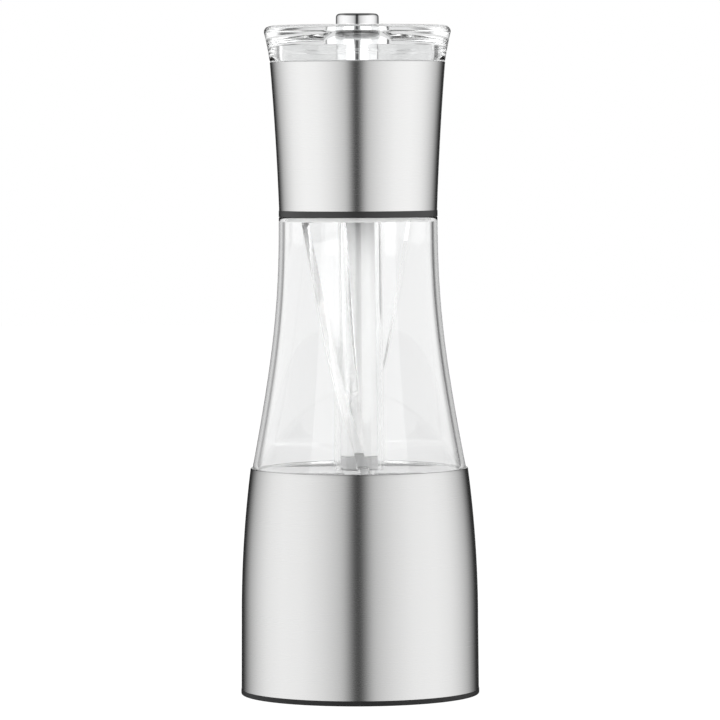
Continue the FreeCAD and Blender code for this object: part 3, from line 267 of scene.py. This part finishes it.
def leaning(start, end, lean, start_pull, end_pull, steps):
    """Points of an outline that leaves start at a lean and reaches end upright."""
    poles = [
        start,
        (start[0] - lean * start_pull, start[1] + start_pull),
        (end[0], end[1] - end_pull),
        end,
    ]
    points = []
    for step in range(steps + 1):
        t = step / steps
        weights = ((1 - t) ** 3, 3 * t * (1 - t) ** 2, 3 * t * t * (1 - t), t**3)
        points.append(
            tuple(sum(w * pole[axis] for w, pole in zip(weights, poles)) for axis in (0, 1))
        )
    return points


body_wall = 1.8
body_foot_z = 60.0
body_foot = (33.75, 71.7)
body_waist = (25.07, 150.9)
body_lean = 0.19
body_foot_pull = 36.0
body_waist_pull = 26.4
body_edge = 0.35
body_foot_upright = 1.0
floor_z = 68.5
ledge = 1.0


def body_flank(inset, steps):
    """The flank of the clear body, or of its hollow."""
    start = (body_foot[0] - inset, body_foot[1])
    end = (body_waist[0] - inset, body_waist[1] - body_edge)
    return leaning(start, end, body_lean, body_foot_pull, body_waist_pull, steps)


def lets_light_in(material, shader, colour):
    """Lets lamp light through clear plastic to what is inside it."""
    tree = material.node_tree
    ray = tree.nodes.new("ShaderNodeLightPath")
    open_way = tree.nodes.new("ShaderNodeBsdfTransparent")
    open_way.inputs["Color"].default_value = (*colour, 1)
    either = tree.nodes.new("ShaderNodeMixShader")
    tree.links.new(ray.outputs["Is Shadow Ray"], either.inputs["Fac"])
    tree.links.new(shader.outputs["BSDF"], either.inputs[1])
    tree.links.new(open_way.outputs["BSDF"], either.inputs[2])
    tree.links.new(either.outputs["Shader"], tree.nodes["Material Output"].inputs["Surface"])


clear, shader = finish_of("clear_plastic", (0.985, 0.987, 0.987), 0.012)
shader.inputs["IOR"].default_value = 1.49
shader.inputs["Transmission Weight"].default_value = 1.0
roughened(clear, shader, noise_of(clear, 45.0), 0.0, 0.025)
lets_light_in(clear, shader, (0.98, 0.98, 0.98))
relief(clear, shader, noise_of(clear, 60.0, detail=1.0), 3.0)

body_inner = body_foot[0] - body_wall
mouth = body_waist[0] - body_wall
body = turned(
    "clear_body_shell",
    [
        (body_foot[0], body_foot_z),
        (body_foot[0], body_foot[1] - body_foot_upright),
        *body_flank(0.0, 64),
        *rounded((body_waist[0] - body_edge, body_waist[1] - body_edge), body_edge, 0, 90, 5)[1:],
        *rounded((mouth + body_edge, body_waist[1] - body_edge), body_edge, 90, 180, 5),
        *reversed(body_flank(body_wall, 64)[:-1]),
        (body_inner, floor_z),
        (body_inner - ledge, floor_z),
        (body_inner - ledge, body_foot_z),
        (body_foot[0], body_foot_z),
    ],
    sides=256,
)
body.data.materials.append(clear)
placed(body, "base", "clear_plastic", "clear_body")

# Divider
# A clear wall that splits the chamber in two and winds as it goes up, moulded in one with the
# tube in its middle. It is cut to the body's hollow and stops short of the seal at the mouth.

divider_foot = 70.95
divider_top = 150.6
vane_thickness = 3.0
vane_start = 4.0
vane_wind = -48.5
vane_gap = 0.1
tube_foot_radius = 8.0
tube_top_radius = 7.4
tube_wall = 1.2
seal_room = 2.8
seal_z = 149.5
seat_gap = 0.1
vane_steps = 56


def hollow_radius(height):
    """The radius of the clear body's hollow at a height."""
    points = body_flank(body_wall, 64)
    for low, high in zip(points, points[1:]):
        if height <= high[1]:
            share = (height - low[1]) / (high[1] - low[1])
            return low[0] + (high[0] - low[0]) * max(0.0, share)
    return points[-1][0]


def tube_radius(height):
    share = (height - divider_foot) / (divider_top - divider_foot)
    return tube_foot_radius + (tube_top_radius - tube_foot_radius) * share


bpy.ops.object.select_all(action="DESELECT")
bpy.ops.mesh.primitive_plane_add(size=1, location=(0, 0, divider_foot * mm))
vane = bpy.context.object
vane_length = 2 * (hollow_radius(divider_foot) - vane_gap)
vane.scale = (vane_thickness * mm, vane_length * mm, 1)
bpy.ops.object.transform_apply(location=False, rotation=False, scale=True)
bpy.ops.object.mode_set(mode="EDIT")
bpy.ops.mesh.select_all(action="SELECT")
vane_rise = seal_z - seat_gap - divider_foot
heights = [divider_foot + vane_rise * step / vane_steps for step in range(vane_steps + 1)]
for low, high in zip(heights, heights[1:]):
    bpy.ops.mesh.extrude_region_move(TRANSFORM_OT_translate={"value": (0, 0, (high - low) * mm)})
    length = 2 * (hollow_radius(high) - vane_gap)
    bpy.ops.transform.resize(value=(1, length / vane_length, 1), center_override=(0, 0, 0))
    vane_length = length
length = 2 * (mouth - seal_room)
bpy.ops.mesh.extrude_region_move(TRANSFORM_OT_translate={"value": (0, 0, 0)})
bpy.ops.transform.resize(value=(1, length / vane_length, 1), center_override=(0, 0, 0))
bpy.ops.mesh.extrude_region_move(
    TRANSFORM_OT_translate={"value": (0, 0, (divider_top - heights[-1]) * mm)}
)
bpy.ops.mesh.select_all(action="SELECT")
bpy.ops.mesh.normals_make_consistent(inside=False)
bpy.ops.object.mode_set(mode="OBJECT")
wind = vane.modifiers.new("wind", "SIMPLE_DEFORM")
wind.deform_method = "TWIST"
wind.deform_axis = "Z"
wind.angle = math.radians(vane_wind)
bpy.ops.object.modifier_apply(modifier="wind")
vane.rotation_euler[2] = math.radians(vane_start)
vane = settled(vane, "divider_wall")


def tube_outline(inset, low, high):
    """The outline of a plain plug with the tube's taper."""
    return [(tube_radius(low) - inset, low), (tube_radius(high) - inset, high)]


def carved(piece, tool, operation):
    """Cuts a piece with a tool, or joins the two, and takes the tool away."""
    change = piece.modifiers.new("carve", "BOOLEAN")
    change.operation = operation
    change.solver = "MANIFOLD"
    change.object = tool
    bpy.context.view_layer.objects.active = piece
    bpy.ops.object.select_all(action="DESELECT")
    piece.select_set(True)
    bpy.ops.object.modifier_apply(modifier="carve")
    bpy.data.objects.remove(tool)


plug = turned("tube_plug", tube_outline(0.0, divider_foot, divider_top), sides=96)
carved(vane, plug, "UNION")
bore = turned("tube_bore", tube_outline(tube_wall, divider_foot - 1, divider_top + 1), sides=96)
carved(vane, bore, "DIFFERENCE")
divider = settled(vane, "divider_wall", sharp=30.0)
divider.data.materials.clear()
divider.data.materials.append(clear)
placed(divider, "base", "clear_plastic", "divider")

# Drive shaft and its collar
# A translucent tube turns inside the divider. It is bonded in a grey cup at its foot, whose
# stub goes down to the gears, and it has a square socket in its top.

shaft_foot = 75.3
shaft_top = 149.5
shaft_foot_radius = 5.9
shaft_top_radius = 5.1
shaft_stub = 5.1
shaft_low = 72.4
shaft_bore = 2.6
shaft_bore_top = 141.0
shaft_core = 0.4
shaft_core_z = 142.0
socket_mouth = 3.5
socket_mouth_depth = 0.2
socket_z = 144.75
socket_side = 4.6
shaft_edge = 0.3

frosted, shader = finish_of("frosted_plastic", (0.98, 0.98, 0.975), 0.4)
shader.inputs["IOR"].default_value = 1.3
shader.inputs["Transmission Weight"].default_value = 0.05
shader.inputs["Specular IOR Level"].default_value = 0.5
roughened(frosted, shader, noise_of(frosted, 500.0), 0.4, 0.5)
relief(frosted, shader, noise_of(frosted, 500.0), 0.5)

shaft = turned(
    "drive_tube",
    [
        (shaft_bore, shaft_low),
        (shaft_stub, shaft_low),
        (shaft_stub, shaft_foot),
        (shaft_foot_radius - shaft_edge, shaft_foot),
        (shaft_foot_radius, shaft_foot + shaft_edge),
        (shaft_top_radius, shaft_top - shaft_edge),
        (shaft_top_radius - shaft_edge, shaft_top),
        (socket_mouth, shaft_top),
        (socket_mouth, shaft_top - socket_mouth_depth),
        (shaft_core, shaft_top - socket_mouth_depth),
        (shaft_core, shaft_core_z),
        (shaft_bore, shaft_bore_top),
        (shaft_bore, shaft_low),
    ],
    sides=96,
)
bpy.ops.object.select_all(action="DESELECT")
key_top = shaft_top + 1
bpy.ops.mesh.primitive_cube_add(size=1, location=(0, 0, (socket_z + key_top) / 2 * mm))
key = bpy.context.object
key.scale = (socket_side * mm, socket_side * mm, (key_top - socket_z) * mm)
bpy.ops.object.transform_apply(location=True, rotation=True, scale=True)
carved(shaft, key, "DIFFERENCE")
shaft = settled(shaft, "drive_tube")
shaft.data.materials.clear()
shaft.data.materials.append(frosted)
placed(shaft, "drive", "frosted_plastic", "drive_shaft")

grey, shader = finish_of("moulded_grey", (0.48, 0.48, 0.48), 0.4)
tinted(grey, shader, noise_of(grey, 300.0), (0.45, 0.45, 0.45), (0.51, 0.51, 0.51))
relief(grey, shader, noise_of(grey, 2200.0), 5.0)

stub_radius = 2.5
stub_z = 59.6
cup_radius = 5.9
cup_bore = 5.15
cup_z = 71.0
cup_floor = 72.2
cup_top = 75.2
cup_foot_edge = 0.3
cup_top_edge = 0.2
cup_centre = 0.3
collar = turned(
    "shaft_cup",
    [
        (stub_radius, stub_z),
        (stub_radius, cup_z),
        (cup_radius - cup_foot_edge, cup_z),
        (cup_radius, cup_z + cup_foot_edge),
        (cup_radius, cup_top - cup_top_edge),
        (cup_radius - cup_top_edge, cup_top),
        (cup_bore, cup_top),
        (cup_bore, cup_floor),
        (cup_centre, cup_floor),
    ],
    sides=96,
)
collar.data.materials.append(grey)
placed(collar, "drive", "grey_plastic", "shaft_collar")

# Grinders
# Each has a ceramic ring with teeth inside and a ceramic cone with slanting ridges, pressed by
# a spring on a steel spindle, with a ribbed nut below. They show from below and keep the shape
# that they were made with.

ceramic, shader = finish_of("fired_ceramic", (0.82, 0.81, 0.77), 0.55)
specks = noise_of(ceramic, 3500.0, detail=4.0)
tinted(ceramic, shader, specks, (0.74, 0.73, 0.69), (0.87, 0.865, 0.84))
relief(ceramic, shader, specks, 10.0)
refinish(ceramic, "burr_ring_left", "burr_ring_right", "burr_cone_left", "burr_cone_right")
refinish(grey, "adjuster_left", "adjuster_right")

steel, shader = finish_of("turned_steel", (0.62, 0.62, 0.615), 0.3, metal=1.0)
marks = noise_of(steel, 1.0, stretch=(120, 120, 6000), detail=3.0)
roughened(steel, shader, marks, 0.22, 0.4)
relief(steel, shader, marks, 2.0)
refinish(
    steel,
    "spindle_left",
    "spindle_right",
    "burr_spring_left",
    "burr_spring_right",
    "one_way_clutch_left",
    "one_way_clutch_right",
    "button_spring",
    "base_screws",
    "tray_screws",
    "head_screws",
    "cup_screws",
    "motor_plate",
)

# Gears and gearbox
# Moulded in pale acetal, apart from the sintered carriers and the pinion. All of them are shut
# in, so their shape is the one that they were made with.

acetal, shader = finish_of("acetal", (0.78, 0.76, 0.69), 0.35)
tinted(acetal, shader, noise_of(acetal, 400.0), (0.74, 0.72, 0.65), (0.81, 0.79, 0.73))
relief(acetal, shader, noise_of(acetal, 1500.0), 4.0)
refinish(
    acetal, "drive_gear", "side_gear_left", "side_gear_right", "gearbox_cap", "gearbox_housing"
)
for stage in ("output", "first"):
    for number in (1, 2, 3):
        refinish(acetal, f"{stage}_planet_{number}")

sintered, shader = finish_of("sintered_steel", (0.42, 0.41, 0.40), 0.5, metal=1.0)
pores = noise_of(sintered, 5200.0, detail=5.0)
roughened(sintered, shader, pores, 0.4, 0.65)
relief(sintered, shader, pores, 8.0)
refinish(sintered, "output_carrier", "first_carrier", "motor_pinion")

# Chassis of the head
# A half-gloss black moulding whose foot shows as the dark ring at the waist. The part inside
# the sleeve shows when the lid is off, and it keeps the shape that it was made with.

half_gloss, shader = finish_of("half_gloss_black", (0.018, 0.018, 0.0185), 0.3)
tinted(
    half_gloss, shader, noise_of(half_gloss, 80.0), (0.015, 0.015, 0.0155), (0.022, 0.022, 0.0225)
)
relief(half_gloss, shader, noise_of(half_gloss, 1600.0), 3.0)
refinish(half_gloss, "head_chassis")

silicone, shader = finish_of("silicone", (0.93, 0.93, 0.925), 0.4)
shader.inputs["Transmission Weight"].default_value = 0.2
shader.inputs["IOR"].default_value = 1.41
roughened(silicone, shader, noise_of(silicone, 700.0), 0.34, 0.5)
relief(silicone, shader, noise_of(silicone, 1200.0), 4.0)
refinish(silicone, "head_seal", "lid_seal")

# Brushed sleeve of the head
# Stainless steel like the skirt, slipped over the chassis, narrow at the waist and flared
# towards the lid. Its steel is given a lighter grey than the skirt's, which paints brighter light
# on it.

sleeve_low = (24.95, 152.95)
sleeve_high = (27.65, 199.7)
sleeve_draw = 0.28
sleeve_wall = 0.5
sleeve_flank = bowed(sleeve_low, sleeve_high, -sleeve_draw)
sleeve_lip = sleeve_wall / 2
sleeve = turned(
    "sleeve",
    [
        (sleeve_low[0] - sleeve_wall, sleeve_low[1]),
        *along(sleeve_flank, sleeve_low[1], sleeve_high[1] - sleeve_lip, 32),
        *rounded(
            (sleeve_high[0] - sleeve_lip, sleeve_high[1] - sleeve_lip), sleeve_lip, 0, 180, 8
        )[1:],
        *along(sleeve_flank, sleeve_high[1] - sleeve_lip, sleeve_low[1], 16, sleeve_wall)[1:],
    ],
    sides=256,
)
# Painted light: the sleeve's steel is a lighter grey than the skirt's, though both are one steel.
sleeve.data.materials.append(brushed_steel("brushed_sleeve_lit_grey", 0.824, 0.83))
placed(sleeve, "head", "brushed_steel", "head_sleeve")

# Motor, board and cells
# A zinc-plated motor can, a green board, four cells in bare dark sleeves and plated contacts
# with two red leads. They show only when the lid is off.

zinc, shader = finish_of("zinc_plate", (0.66, 0.66, 0.64), 0.35, metal=1.0)
spangle = noise_of(zinc, 500.0, detail=4.0)
roughened(zinc, shader, spangle, 0.28, 0.46)
tinted(zinc, shader, spangle, (0.6, 0.6, 0.585), (0.7, 0.7, 0.68))
relief(zinc, shader, spangle, 2.0)
refinish(zinc, "motor")

solder_mask, shader = finish_of("solder_mask", (0.02, 0.13, 0.05), 0.3)
tracks = noise_of(solder_mask, 700.0, detail=0.0)
tinted(solder_mask, shader, tracks, (0.012, 0.10, 0.035), (0.03, 0.17, 0.07))
relief(solder_mask, shader, tracks, 20.0)
refinish(solder_mask, "control_board")

cell_wrap, shader = finish_of("cell_wrap", (0.06, 0.065, 0.075), 0.25)
tinted(cell_wrap, shader, noise_of(cell_wrap, 60.0), (0.045, 0.05, 0.06), (0.08, 0.085, 0.095))
roughened(cell_wrap, shader, noise_of(cell_wrap, 300.0), 0.2, 0.32)
relief(cell_wrap, shader, noise_of(cell_wrap, 200.0), 5.0)
refinish(cell_wrap, "battery_1", "battery_2", "battery_3", "battery_4")

contact, shader = finish_of("contact_metal", (0.72, 0.60, 0.36), 0.28, metal=1.0)
roughened(contact, shader, noise_of(contact, 900.0), 0.2, 0.4)
relief(contact, shader, noise_of(contact, 900.0), 2.0)
refinish(contact, "battery_contacts", "contact_bridges")

lead, shader = finish_of("lead_insulation", (0.42, 0.03, 0.025), 0.4)
relief(lead, shader, noise_of(lead, 1500.0), 10.0)
refinish(lead, "battery_leads")

# Plate in the lid
# A white plastic disc bonded in the lid's spigot, with a low boss round the button. It is coloured
# a mid grey that paints the shade in the lid's hollow. It shows through the lid as the floor of
# its hollow.

plate_radius = 24.05
plate_low = 199.0
plate_high = 200.2
boss_radius = 11.5
boss_height = 0.6
boss_round = 0.5
boss_top = plate_high + boss_height
button_radius = 6.75
plate_hole = button_radius + 0.2
plate = turned(
    "lid_disc",
    [
        (plate_hole, plate_low),
        (plate_radius, plate_low),
        (plate_radius, plate_high),
        (boss_radius + boss_height, plate_high),
        *rounded((boss_radius - boss_round, boss_top - boss_round), boss_round, 0, 90, 5),
        (plate_hole, boss_top),
        (plate_hole, plate_low),
    ],
    sides=160,
)
# Painted shade: the white plastic plate is given a mid grey for the shade in the lid's hollow.
plate_shade_grey, shader = finish_of("white_plate_painted_shade", (0.39, 0.39, 0.39), 0.35)
tinted(plate_shade_grey, shader, noise_of(plate_shade_grey, 160.0), (0.37, 0.37, 0.37), (0.41, 0.41, 0.41))
relief(plate_shade_grey, shader, noise_of(plate_shade_grey, 1800.0), 3.0)
plate.data.materials.append(plate_shade_grey)
placed(plate, "lid", "white_plastic", "lid_plate")

# Clear lid
# A thick clear moulding: a solid top with a rounded edge, hollow under it, flared outside, and
# a spigot with a seal that fits in the sleeve.

lid_low = 199.8
lid_top = 211.1
lid_edge = 29.45
lid_round = 2.0
lid_draw = 0.12
lid_spigot = 26.5
lid_spigot_z = 195.7
lid_inner = 24.1
lid_ceiling = 205.2
lid_hole = button_radius + 0.4
hole_round = 0.35
foot_round = 0.3
groove_depth = 0.8
groove_width = 1.4
groove_z = (lid_spigot_z + lid_low - groove_width) / 2
lid_flank = bowed((sleeve_high[0], lid_low), (lid_edge, lid_top - lid_round), -lid_draw)
lid = turned(
    "clear_lid_shell",
    [
        (lid_inner, lid_spigot_z),
        (lid_spigot, lid_spigot_z),
        (lid_spigot, groove_z),
        (lid_spigot - groove_depth, groove_z),
        (lid_spigot - groove_depth, groove_z + groove_width),
        (lid_spigot, groove_z + groove_width),
        (lid_spigot, lid_low),
        *rounded((sleeve_high[0] - foot_round, lid_low + foot_round), foot_round, 270, 360, 4),
        *along(lid_flank, lid_low + foot_round, lid_top - lid_round, 14)[1:],
        *rounded((lid_edge - lid_round, lid_top - lid_round), lid_round, 0, 90, 14)[1:],
        *rounded((lid_hole + hole_round, lid_top - hole_round), hole_round, 90, 180, 5),
        (lid_hole, lid_ceiling),
        (lid_inner, lid_ceiling),
        (lid_inner, lid_spigot_z),
    ],
    sides=256,
)
smoke, shader = finish_of("thick_clear_plastic", (0.87, 0.875, 0.875), 0.012)
shader.inputs["IOR"].default_value = 1.49
shader.inputs["Transmission Weight"].default_value = 1.0
roughened(smoke, shader, noise_of(smoke, 45.0), 0.0, 0.02)
lets_light_in(smoke, shader, (0.9, 0.9, 0.9))
relief(smoke, shader, noise_of(smoke, 60.0, detail=1.0), 3.0)
lid.data.materials.append(smoke)
placed(lid, "lid", "clear_plastic", "clear_lid")

# Power button
# A chromed cap that runs through the lid: a tube with a closed top and a rounded edge, held by
# its flange under the lid's plate.

button_top = 214.9
button_low = 197.9
button_wall = 0.6
button_flange = (7.8, 198.9)
button_round = 1.2
button_centre = 0.05

chrome, shader = finish_of("chrome", (0.88, 0.88, 0.885), 0.06, metal=1.0)
roughened(chrome, shader, noise_of(chrome, 220.0), 0.04, 0.1)
relief(chrome, shader, noise_of(chrome, 150.0), 0.5)
button = turned(
    "button_cap",
    [
        (button_centre, button_top - button_round),
        (button_radius - button_wall, button_top - button_round),
        (button_radius - button_wall, button_low),
        (button_flange[0], button_low),
        (button_flange[0], button_flange[1]),
        (button_radius, button_flange[1]),
        *rounded(
            (button_radius - button_round, button_top - button_round), button_round, 0, 90, 10
        ),
        (button_centre, button_top),
    ],
    sides=128,
)
button.data.materials.append(chrome)
placed(button, "button", "chrome", "power_button")

# Studio
# The grinder stands on a white floor in front of a white ground. Its steel reflects one ring of
# screens, light passes through its clear pieces from another, and three soft lamps do the rest.
# Each screen's edge is an angle from the camera's side, in degrees, and a level.

screens = [
    (0, 0.0),
    (4, 0.08),
    (8, 0.29),
    (15, 0.59),
    (23, 0.70),
    (36, 0.84),
    (56, 0.97),
    (81, 1.0),
    (101, 0.92),
    (115, 0.76),
    (132, 0.49),
    (143, 0.22),
    (154, 0.02),
    (171, 0.02),
    (174, 0.6),
]
through_screens = [
    (-180, 0.58),
    (-154, 0.56),
    (-148, 0.25),
    (-141, 0.18),
    (-135, 0.85),
    (-128, 1.0),
    (-22, 0.95),
    (-9, 0.4),
    (-2, 0.05),
    (2, 0.05),
    (9, 0.4),
    (22, 0.95),
    (128, 1.0),
    (134, 0.8),
    (140, 0.04),
    (150, 0.08),
    (156, 0.45),
    (166, 0.57),
    (180, 0.58),
]
world = bpy.data.worlds.new("studio")
bpy.context.scene.world = world
world.use_nodes = True
tree = world.node_tree
tree.nodes.clear()
direction = tree.nodes.new("ShaderNodeTexCoord")
parts = tree.nodes.new("ShaderNodeSeparateXYZ")
tree.links.new(direction.outputs["Generated"], parts.inputs["Vector"])


def world_math(operation, first, second=None, third=None):
    """A step of arithmetic in the studio's world."""
    node = tree.nodes.new("ShaderNodeMath")
    node.operation = operation
    for place, value in enumerate((first, second, third)):
        if isinstance(value, (int, float)):
            node.inputs[place].default_value = value
        elif value is not None:
            tree.links.new(value, node.inputs[place])
    return node.outputs["Value"]


card_aside = 1.8
through_strength = 1.5
ceiling_from = (0.5, 1.11)
ceiling_to = (0.8, 0.15)
forward = world_math("MULTIPLY", parts.outputs["Y"], -1.0)
azimuth = world_math("ARCTAN2", parts.outputs["X"], forward)
angle = world_math("ADD", azimuth, math.radians(card_aside))
turn = world_math("DIVIDE", world_math("ABSOLUTE", angle), math.pi)
whole_turn = world_math("MULTIPLY_ADD", angle, 0.5 / math.pi, 0.5)


def ring(levels, place_of, around_it):
    """A colour ramp round the studio, from stops of degrees and level."""
    ramp = tree.nodes.new("ShaderNodeValToRGB")
    stops = ramp.color_ramp.elements
    for place, (degrees, level) in enumerate(levels):
        stop = stops[place] if place < 2 else stops.new(1.0)
        stop.position = place_of(degrees)
        stop.color = (level, level, level, 1)
    tree.links.new(around_it, ramp.inputs["Fac"])
    return ramp.outputs["Color"]


around = tree.nodes.new("ShaderNodeBackground")
mirrored = ring(screens, lambda degrees: degrees / 180, turn)
tree.links.new(mirrored, around.inputs["Color"])
ceiling = tree.nodes.new("ShaderNodeMapRange")
ceiling.inputs["From Min"].default_value = ceiling_from[0]
ceiling.inputs["From Max"].default_value = ceiling_to[0]
ceiling.inputs["To Min"].default_value = ceiling_from[1]
ceiling.inputs["To Max"].default_value = ceiling_to[1]
tree.links.new(parts.outputs["Z"], ceiling.inputs["Value"])
tree.links.new(ceiling.outputs["Result"], around.inputs["Strength"])
ground = tree.nodes.new("ShaderNodeBackground")
ground.inputs["Color"].default_value = (1, 1, 1, 1)
behind = tree.nodes.new("ShaderNodeBackground")
behind.inputs["Strength"].default_value = through_strength
refracted = ring(through_screens, lambda degrees: degrees / 360 + 0.5, whole_turn)
tree.links.new(refracted, behind.inputs["Color"])
path = tree.nodes.new("ShaderNodeLightPath")
bent = tree.nodes.new("ShaderNodeMixShader")
choice = tree.nodes.new("ShaderNodeMixShader")
output = tree.nodes.new("ShaderNodeOutputWorld")
tree.links.new(path.outputs["Is Transmission Ray"], bent.inputs["Fac"])
tree.links.new(around.outputs["Background"], bent.inputs[1])
tree.links.new(behind.outputs["Background"], bent.inputs[2])
tree.links.new(path.outputs["Is Camera Ray"], choice.inputs["Fac"])
tree.links.new(bent.outputs["Shader"], choice.inputs[1])
tree.links.new(ground.outputs["Background"], choice.inputs[2])
tree.links.new(choice.outputs["Shader"], output.inputs["Surface"])

floor_size = 6.0
floor_glow = 1.10
floor_glow_refracted = 0.89
floor_glow_share = 0.88
bpy.ops.object.select_all(action="DESELECT")
bpy.ops.mesh.primitive_plane_add(size=floor_size, location=(0, 0, 0))
floor = bpy.context.object
floor.name = "floor"
floor_white = bpy.data.materials.new("floor_white")
floor_white.use_nodes = True
floor_tree = floor_white.node_tree
floor_shader = floor_tree.nodes["Principled BSDF"]
floor_shader.inputs["Base Color"].default_value = (0.93, 0.93, 0.93, 1)
floor_shader.inputs["Roughness"].default_value = 0.9
lit = floor_tree.nodes.new("ShaderNodeEmission")
floor_path = floor_tree.nodes.new("ShaderNodeLightPath")
blend = floor_tree.nodes.new("ShaderNodeMixShader")
seen = floor_tree.nodes.new("ShaderNodeMath")
seen.operation = "ADD"
seen.use_clamp = True
share = floor_tree.nodes.new("ShaderNodeMath")
share.operation = "MULTIPLY"
share.inputs[1].default_value = floor_glow_share
dimmed = floor_tree.nodes.new("ShaderNodeMath")
dimmed.operation = "MULTIPLY_ADD"
dimmed.inputs[1].default_value = floor_glow_refracted - floor_glow
dimmed.inputs[2].default_value = floor_glow
floor_tree.links.new(floor_path.outputs["Is Transmission Ray"], dimmed.inputs[0])
floor_tree.links.new(dimmed.outputs["Value"], lit.inputs["Strength"])
floor_tree.links.new(floor_path.outputs["Is Camera Ray"], seen.inputs[0])
floor_tree.links.new(floor_path.outputs["Is Transmission Ray"], seen.inputs[1])
floor_tree.links.new(seen.outputs["Value"], share.inputs[0])
floor_tree.links.new(share.outputs["Value"], blend.inputs["Fac"])
floor_tree.links.new(floor_shader.outputs["BSDF"], blend.inputs[1])
floor_tree.links.new(lit.outputs["Emission"], blend.inputs[2])
floor_output = floor_tree.nodes["Material Output"]
floor_tree.links.new(blend.outputs["Shader"], floor_output.inputs["Surface"])
floor.data.materials.append(floor_white)
floor.visible_glossy = False

lamp_size = 1.2
lamp_height = 1.3
lamp_forward = 0.2
lamp_power = 14.0
bpy.ops.object.light_add(type="AREA", location=(0, -lamp_forward, lamp_height))
top_lamp = bpy.context.object
top_lamp.data.size = lamp_size
top_lamp.data.energy = lamp_power
top_lamp.visible_glossy = False
top_lamp.visible_camera = False
top_lamp.visible_transmission = False

strip_width = 1.2
strip_rise = 1.3
strip_height = 0.67
strip_distance = 1.5
strip_power = 8.0
strip_aside = 36.0
for side in (-1, 1):
    aside = math.radians(side * strip_aside)
    place = (strip_distance * math.sin(aside), -strip_distance * math.cos(aside), strip_height)
    bpy.ops.object.light_add(type="AREA", location=place, rotation=(math.radians(90), 0, aside))
    strip = bpy.context.object
    strip.data.shape = "RECTANGLE"
    strip.data.size = strip_width
    strip.data.size_y = strip_rise
    strip.data.energy = strip_power
    strip.visible_glossy = False
    strip.visible_camera = False

camera_aside = 0.0007
camera_distance = 1.575
camera_height = 0.178
camera_tilt = 2.63
camera_roll = 0.26
camera_lens = 249.5
bpy.ops.object.camera_add(
    location=(camera_aside, -camera_distance, camera_height),
    rotation=(math.radians(90 - camera_tilt), math.radians(camera_roll), 0),
)
camera = bpy.context.object
camera.data.lens = camera_lens
camera.data.sensor_width = 36.0
scene = bpy.context.scene
scene.camera = camera
scene.view_settings.view_transform = "Standard"
scene.cycles.max_bounces = 32
scene.cycles.transmission_bounces = 24
scene.cycles.glossy_bounces = 24
scene.cycles.transparent_max_bounces = 16
